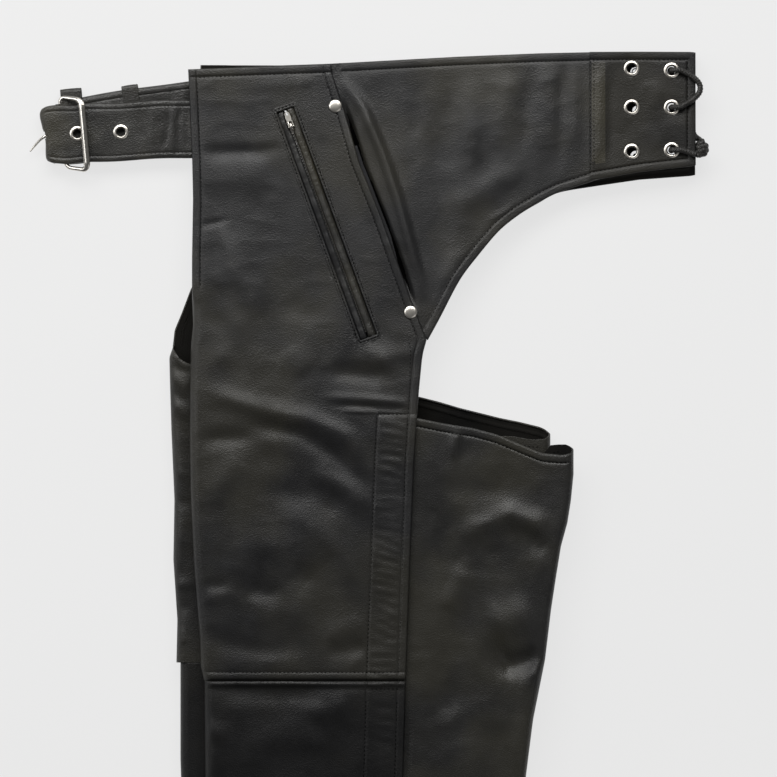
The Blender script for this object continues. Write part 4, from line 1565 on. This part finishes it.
def zip_slider(name, pl, hw, w, l, t, bridge, body, repl):
    ch = 0.25
    o = rounded([(-w / 2 + 0.8, -1), (w / 2 - 0.8, -1), (w / 2, 0), (w / 2 - 0.6, l * 0.55), (w * 0.28, l), (-w * 0.28, l), (-w / 2 + 0.6, l * 0.55), (-w / 2, 0)], 0.9)
    parts = [plate(pl, o, t / 2 + ch, t / 2 + ch + 1), plate(pl, o, -t / 2 - ch - 1, -t / 2 - ch)]
    parts.append(plate(pl, rounded([(-0.32, l * 0.45), (0.32, l * 0.45), (0.32, l * 0.8), (-0.32, l * 0.8)], 0.15, 2), -t / 2 - ch - 0.5, t / 2 + ch + 0.5, 0.05))
    z0 = t / 2 + ch + 0.9
    if bridge:
        P = cat([(0, 1.7, z0 - 0.3), (0, 1.9, z0 + 2.4), (0, 2.5, z0 + 4.3), (0, 3.9, z0 + 4.75), (0, l - 4.9, z0 + 4.75), (0, l - 3.6, z0 + 4.3), (0, l - 3.3, z0 + 2.4), (0, l - 3.1, z0 - 0.3)], 6)
        P = np.array([pl(p) for p in P])
        parts.append(sweep(P, 0.72, 14, flat=(1.15, 0.8)))
    else:
        parts.append(([*map(np.array, [])], []))
        V = []
        F = []
        n = 24
        for z, r in ((z0 - 0.3, 1.0), (z0 + 1.2, 1.0), (z0 + 1.35, 0.9), (z0 + 1.5, 0.7)):
            for k in range(n):
                a = 2 * math.pi * k / n
                V.append(pl((r * math.cos(a), 6.8 + r * math.sin(a), z)))
        for r in range(3):
            for k in range(n):
                k2 = (k + 1) % n
                F.append([r * n + k, r * n + k2, (r + 1) * n + k2, (r + 1) * n + k])
        F.append([3 * n + k for k in range(n)])
        parts[-1] = (V, F)
    V, F = joined(parts)
    return make(name, V, F, M_STEEL, body, (repl,), "steel")

def pull_tab(name, pl, pins, zc, y0, y1, w, t, body, repl, cross, sign=1):
    """pull with a hole near each end, as a plate with rings of faces round them"""
    parts = []
    zl, zh = zc - t / 2, zc + t / 2
    if cross:
        # cross pin, two arms and the tab
        a = np.array([pl((x, y1, zc)) for x in np.linspace(-w / 2, w / 2, 6)])
        parts.append(sweep(a, 0.55, 16))
        for sg in (-1, 1):
            q = cat([(sg * (w / 2 - 0.5), y1, zc), (sg * (w / 2 - 0.45), y1 - sign * 2.2, zc), (sg * (w / 2 - 0.5), y1 - sign * 4.6, zc)], 6)
            parts.append(sweep(np.array([pl(p) for p in q]), 0.52, 14))
        ys = np.linspace(y1 - sign * 4.2, y0 + sign * 0.3, 14)
    else:
        n = 26
        V, F = [], []
        for z in (zl, zh):
            for r in (1.08, w / 2 + 0.4):
                for k in range(n):
                    ang = 2 * math.pi * k / n
                    V.append(pl((r * math.cos(ang), y1 + r * math.sin(ang), z)))
        for k in range(n):
            k2 = (k + 1) % n
            F += [[k2, k, n + k, n + k2], [2 * n + k, 2 * n + k2, 3 * n + k2, 3 * n + k], [n + k2, n + k, 3 * n + k, 3 * n + k2], [k, k2, 2 * n + k2, 2 * n + k]]
        parts.append((V, F))
        ys = np.linspace(y1 - sign * 1.9, y0 + sign * 0.3, 14)
    rows = []
    for i, y in enumerate(ys):
        f = i / (len(ys) - 1)
        hwid = w / 2 * (0.82 + 0.18 * math.sin(f * math.pi)) if f < 0.9 else w / 2 * 0.86
        rows.append([(-hwid, y), (hwid, y)])
    # outline down one side and round the far end
    left = [r[0] for r in rows]; right = [r[1] for r in rows]
    end = []
    for k in range(1, 12):
        ang = math.pi * k / 12
        end.append((-left[-1][0] * -math.cos(ang), ys[-1] - sign * (w / 2 * 0.86) * math.sin(ang)))
    outline = left + end + right[::-1]
    m = len(outline)
    hc = (0, ys[-1] - sign * 0.1)
    V, F = [], []
    hr = 1.1
    ring = []
    for x, y in outline:
        ang = math.atan2(y - hc[1], x - hc[0])
        ring.append((hc[0] + hr * math.cos(ang), hc[1] + hr * math.sin(ang)))
    for z, inset in ((zl, 0.12), (zl + 0.15, 0.0), (zh - 0.15, 0.0), (zh, 0.12)):
        for x, y in outline:
            V.append(pl((x * (1 - inset / (w / 2)), y, z)))
    for z in (zl, zh):
        for x, y in ring:
            V.append(pl((x, y, z)))
    for r in range(3):
        for k in range(m):
            k2 = (k + 1) % m
            F.append([r * m + k, (r + 1) * m + k, (r + 1) * m + k2, r * m + k2])
    for k in range(m):
        k2 = (k + 1) % m
        F.append([k, k2, 4 * m + k2, 4 * m + k])
        F.append([3 * m + k2, 3 * m + k, 5 * m + k, 5 * m + k2])
        F.append([4 * m + k, 4 * m + k2, 5 * m + k2, 5 * m + k])
    parts.append((V, F))
    V, F = joined(parts)
    return make(name, V, F, M_PULL, body, (repl,), "steel", smooth=False)

# ------------------------------------------------------------------ leg zips
def leg_zip(s):
    side = Side(s)
    n = side.n
    ang = -math.atan(0.0285)
    X0, Y0, Z0 = ZIPX[s][1], ZIPX[s][0], 24.0
    def pl3(x, y, z):
        return np.array([X0 + x * math.cos(ang) - y * math.sin(ang), Y0 + x * math.sin(ang) + y * math.cos(ang), Z0 + z])
    def pl(p):
        q = pl3(*p)
        if s:
            q[2] = 2 * ZM - q[2]
        return q
    for sgn, nm in ((-1, "a"), (1, "b")):
        ts = np.linspace(-771, 0, 260)
        P = np.array([[pl3(sgn * u, t, 0.3 + 0.1 * math.sin(t * 0.8) + 0.1 * math.sin(t * 0.09 + sgn)) for u in (1.0, 3.1, 3.4, 6, 9, 12, 13.8, 14)] for t in ts])
        V, F = surf(P)
        if normals(V, F)[:, 2].sum() < 0:
            F = F[:, ::-1]
        V, F = side.fix(V, F); V, F = shell(V, F, 0.6)
        make(f"{n}_leg_tape_{nm}", V, F, M_TAPE, "garment", (f"{n}_leg_zip_tape",), "zip_tape")
    teeth(f"{n}_leg_zip_chain", pl3, -766, -1, 2.6, 2.2, 3.0, (f"{n}_leg_zip_teeth",), side)
    parts = []
    for m in (-1, 1):
        for y in (1.2, -769.2):
            parts.append(plate(lambda p: pl(p), rounded([(m * 1.9 - 1.2, y - 1), (m * 1.9 + 1.2, y - 1), (m * 1.9 + 1.2, y + 1), (m * 1.9 - 1.2, y + 1)], 0.4, 3), -1.3, 1.3, 0.2))
    V, F = joined(parts)
    make(f"{n}_leg_zip_ends", V, F, M_STEEL, "garment", (f"{n}_leg_zip_stops",), "steel")
    sl = lambda p: pl((p[0], p[1] - 764, p[2]))
    zip_slider(f"{n}_leg_slider_body", sl, 3.1, 10.6, 13, 2.2, False, f"{n}_leg_slider", f"{n}_leg_zip_slider")
    pull_tab(f"{n}_leg_pull_tab", sl, [], 3.2, 28.8, 6.8, 4.4, 0.9, f"{n}_leg_pull", f"{n}_leg_zip_pull", cross=False, sign=-1)

# ------------------------------------------------------------------ cloth inside
def inside(s):
    side = Side(s)
    n = side.n
    def sheet_piece(name, A, B, z, mat, repl, slot, wav, seed, waist=True, t=0.5, nm=26, ns=60):
        A, B = np.array(A, float), np.array(B, float)
        ta = np.linspace(0, 1, ns)
        La = np.linspace(0, 1, len(A)); Lb = np.linspace(0, 1, len(B))
        a = np.stack([np.interp(ta, La, A[:, i]) for i in (0, 1)], 1)
        b = np.stack([np.interp(ta, Lb, B[:, i]) for i in (0, 1)], 1)
        G = spread(a, b, (0, 0.5, 1.5, 3), (0, 0.5, 1.5, 3), nm)
        X, Y = G[..., 0], G[..., 1]
        Z = z - (drop(Y, s) if waist else 0) + wav * vnoise(X, Y, 24, seed)
        P = np.stack([X, Y, Z], -1)
        V, F = surf(P)
        if normals(V, F)[:, 2].sum() < 0:
            F = F[:, ::-1]
        V, F = side.fix(V, F); V, F = shell(V, F, t)
        return make(name, V, F, mat, "garment", (repl,), slot)
    y1 = (240, 254)[s] - 8
    x0, x1 = (-119.5, -134.5)[s], (-108, -127)[s]
    ylo = (-19, -5)[s]
    sheet_piece(f"{n}_lining_cloth", [(x0, y1), ((x0 + x1) / 2, (y1 + ylo) / 2), (x1, ylo)],
                [(float(zip_x(s, y1 + 8)) - 15, y1), (float(zip_x(s, (y1 + ylo) / 2)) - 15, (y1 + ylo) / 2), (float(zip_x(s, ylo)) - 15, ylo)], 26.6, M_LINING, f"{n}_leg_lining", "lining", 0.35, 5, False, 0.4)
    sheet_piece(f"{n}_facing_leather", [(-105, 501), (-66, 502.5), (69, 509.5), (160, 512.5)], [(-105, 513), (-66, 514.5), (69, 521.4), (160, 524.5)], 28.1 - 2.3, M_INNER, f"{n}_waist_facing", "trim_leather", 0.12, 8, True, 1.1, 6)
    sheet_piece(f"{n}_pocket_bag_cloth", [(-66, 455), (-80, 400), (-78, 330), (-60, 292)], [(2, 455), (14, 400), (28, 345), (20, 292)], 28.1 - 5.7, M_LINING, f"{n}_pocket_bag", "lining", 0.25, 9, True, 0.4)

# ------------------------------------------------------------------ lacing
def zt(y):
    return 28.1 + 1.6 - SLOPE * (y - 240)
def on(x, y, c):
    return (x, y, zt(y) + c)
def over(y):
    return [(234.5, y, zt(y) + 2.95), (232, y, zt(y) + 2.9), (229.8, y, zt(y) + 2.3), (228.4, y, zt(y) + 1.2), (228, y, zt(y))]
def under(y, d):
    return [(228, y, 5), (228.2, y + 0.4 * d, 3.6), (228.5, y + 1.6 * d, 2.5), (229, y + 3.2 * d, 2)]
ROUTE = [on(246, 448.2, 1.9), on(243, 449, 2.1), on(239, 450.4, 2.5)] + over(451.5) + under(451.5, 1) + [(229.3, 467.5, 2)] + under(483.7, -1)[::-1] + over(483.7)[::-1] + [
    on(238, 486, 2.6), on(242, 488.2, 2.3), on(246, 491.4, 1.9), on(248.9, 495.2, 1.6), on(249.3, 499.4, 1.5), on(247.4, 503.2, 2), on(243.6, 506.6, 2.2), on(239, 509.4, 2.6)
    ] + over(511.5) + under(511.5, -1) + [
    (233, 500, 2), (238.5, 492, 2), (242, 482, 2), (243.6, 472, 2), (244.8, 464.6, 2.2), (247, 461.2, 4), (249.4, 459.6, 8), (250.1, 458.4, 12),
    (250.1, 455, 13), (250.1, 450, 13), (250.3, 447.5, 13)]

LACE = []
def lace():
    P = cat(ROUTE, 9)
    R = np.where((P[:, 0] > 249.5) & (P[:, 1] < 461), 1.4, 2.1)
    k = np.ones(9) / 9
    R = np.convolve(np.pad(R, 4, mode="edge"), k, "valid")
    d = np.concatenate([[0], np.cumsum(np.linalg.norm(np.diff(P, axis=0), axis=1))])
    def braid(i, f):
        a = d[i] / 1.9
        return 0.05 * math.sin(2 * math.pi * (a + 2 * f)) + 0.05 * math.sin(2 * math.pi * (a - 2 * f))
    # even steps so that the braid shows evenly
    s = np.arange(0, d[-1], 0.42)
    Q = np.stack([np.interp(s, d, P[:, i]) for i in range(3)], 1); RR = np.interp(s, d, R)
    d = s
    V, F = sweep(Q, RR, 20, ripple=braid)
    ob = make("back_lace_cord", V, F, M_LACE, "garment", ("back_lace",), "lace")
    LACE.append((ob, Q.copy(), float(s[-1])))
    W = [on(246.3, 448.1, 1.7), on(248.4, 447.6, 0.1)]
    for a in range(0, 1081, 20):
        rr = 2.0 + 0.7 * math.sin(a / 1080 * math.pi)
        W.append((250.6 + rr * math.sin(math.radians(a)), 448.4 + a / 360 * 2.75, 13 + rr * math.cos(math.radians(a))))
    W += [(251.0, 457.4, 14.6), (250.8, 458.6, 12.6)]
    P = cat(W, 3)
    d2 = np.concatenate([[0], np.cumsum(np.linalg.norm(np.diff(P, axis=0), axis=1))])
    s2 = np.arange(0, d2[-1], 0.42)
    Q = np.stack([np.interp(s2, d2, P[:, i]) for i in range(3)], 1)
    def braid2(i, f):
        a = s2[i] / 1.9
        return 0.05 * math.sin(2 * math.pi * (a + 2 * f)) + 0.05 * math.sin(2 * math.pi * (a - 2 * f))
    RW = 1.9 + 0.85 * np.exp(-((s2 - s2[-1] * 0.55) / (0.38 * s2[-1])) ** 4)
    V, F = sweep(Q, RW, 20, ripple=braid2)
    kn = make("back_lace_knot", V, F, M_LACE, "garment", ("lace_knot",), "lace")
    ob, path, long = LACE[0]
    path = (path * MM).tolist()
    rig.cord(ob, exit=path[0], length=long * MM, diameter=0.0042, far_end="knot", stiffness="limp", lay="taut", path=path, with_pieces=[kn])

# ------------------------------------------------------------------ build
made = {}
for s in (0, 1):
    n = ("left", "right")[s]
    made[n, "front"], _ = leg_front(s)
    made[n, "lower"], _ = leg_lower(s)
    made[n, "back"], _ = leg_back(s)
    made[n, "yoke"], _ = yoke(s)
    made[n, "tab"], _ = tab(s)
    pocket(s)
    leg_zip(s)
    inside(s)
belt_tip()
belt_buckle_side()
loop_band("belt_keeper_sewn", -221, 16, 469.8, 27, 5.2, "garment", "belt_fixed_keeper", 3)
loop_band("belt_keeper_loose", -175.5, 12.5, 474.4, 25.3, 8.5, "belt_sliding_keeper", "belt_sliding_keeper", 4)
buckle()
hardware()
lace()
for key in list(STITCHES):
    build_stitches(key, f"{key}_stitching", "garment")

# flat sizes, before the pieces were folded and sewn
FLATS = {("left", "front"): ((0.265, 0.462), 0.098), ("left", "lower"): ((0.235, 0.581), 0.132), ("left", "back"): ((0.285, 0.777), 0.195),
         ("left", "yoke"): ((0.22, 0.217), 0.0325), ("left", "tab"): ((0.0795, 0.096), None)}
for (n, part), (flat, area) in FLATS.items():
    for side_n in ("left", "right"):
        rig.sheet(made[side_n, part], flat=flat, held="folded" if part in ("front", "lower", "back") else "laid", area=area)

def cut_of(ob):
    """flat width, length and area of a piece that lies almost flat, from its own mesh"""
    co = np.array([ob.matrix_world @ v.co for v in ob.data.vertices])[:, :2]
    c = co - co.mean(0)
    w, vec = np.linalg.eigh(c.T @ c)
    q = c @ vec
    a, b = np.ptp(q[:, 0]), np.ptp(q[:, 1])
    area = sum(f.area for f in ob.data.polygons) / 2
    return (float(a), float(b)), float(min(area, a * b))

OTHERS = [f"{n}_{p}" for n in ("left", "right") for p in ("lining_cloth", "facing_leather", "pocket_bag_cloth", "pocket_tape_a", "pocket_tape_b", "leg_tape_a", "leg_tape_b")]
CUTS = {}
for name in OTHERS:
    ob = bpy.data.objects.get(name)
    if ob is not None:
        flat, ar = cut_of(ob)
        CUTS[name] = flat, ar
        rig.sheet(ob, flat=flat, held="laid", area=ar)
for name, width in (("belt_tip_leather", 0.0445), ("belt_buckle_leather", 0.0455)):
    ob = bpy.data.objects.get(name)
    if ob is not None:
        ar = sum(f.area for f in ob.data.polygons) / 2
        CUTS[name] = (width, 1.05 * ar / width), ar
        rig.sheet(ob, flat=CUTS[name][0], held="folded", area=ar)
for name, (flat, ar) in CUTS.items():
    print("CUT", name, [round(v, 4) for v in flat], round(ar, 5))

# ------------------------------------------------------------------ setting
def floor():
    n = 40
    V, F = [], []
    for i in range(n + 1):
        for j in range(n + 1):
            V.append((-3000 + 6000 * i / n, -3000 + 6000 * j / n, -0.6))
    for i in range(n):
        for j in range(n):
            a = i * (n + 1) + j
            F.append((a, a + n + 1, a + n + 2, a + 1))
    me = bpy.data.meshes.new("floor")
    me.from_pydata((np.array(V) * MM).tolist(), [], F)
    m, nt, b = mat_new("m_floor")
    co = tex_coord(nt)
    nn = noise(nt, co, 3, 2, 0.5)
    link(nt, ramp(nt, nn, [(0.3, (0.098, 0.098, 0.098)), (0.7, (0.104, 0.104, 0.104))]), b.inputs["Base Color"])
    b.inputs["Roughness"].default_value = 0.95
    b.inputs["Specular IOR Level"].default_value = 0.05
    b.inputs["Emission Color"].default_value = (1, 1, 1, 1)
    b.inputs["Emission Strength"].default_value = 0.733
    me.materials.append(m)
    ob = bpy.data.objects.new("floor", me)
    bpy.context.scene.collection.objects.link(ob)
    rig.stage(ob)
floor()

def area(name, loc, look, size, power, col=(1, 1, 1)):
    d = bpy.data.lights.new(name, "AREA")
    d.shape = "RECTANGLE"
    d.size, d.size_y = size
    d.energy = power
    d.color = col
    o = bpy.data.objects.new(name, d)
    bpy.context.scene.collection.objects.link(o)
    o.location = loc
    o.rotation_euler = (Vector(look) - Vector(loc)).to_track_quat("-Z", "Y").to_euler()
    return o
area("key", (-0.15, 1.5, 1.1), (-0.03, 0.37, 0), (2.0, 0.72), 35.5, (1.0, 0.993, 0.98))
area("side", (-1.5, 0.75, 0.9), (-0.1, 0.35, 0), (0.7, 1.0), 7.5)
area("fill", (1.3, -0.9, 1.6), (0.0, 0.2, 0), (1.4, 1.4), 4)
w = bpy.context.scene.world or bpy.data.worlds.new("w")
bpy.context.scene.world = w
w.use_nodes = True
bg = w.node_tree.nodes["Background"]
bg.inputs[0].default_value = (1, 1, 1, 1)
bg.inputs[1].default_value = 0.09
bpy.context.scene.view_settings.view_transform = "Standard"

END_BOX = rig.bounds()
with open("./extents.json", "w") as f:
    json.dump({"cad": [list(map(float, v)) for v in CAD_BOX], "now": [list(map(float, v)) for v in END_BOX]}, f)
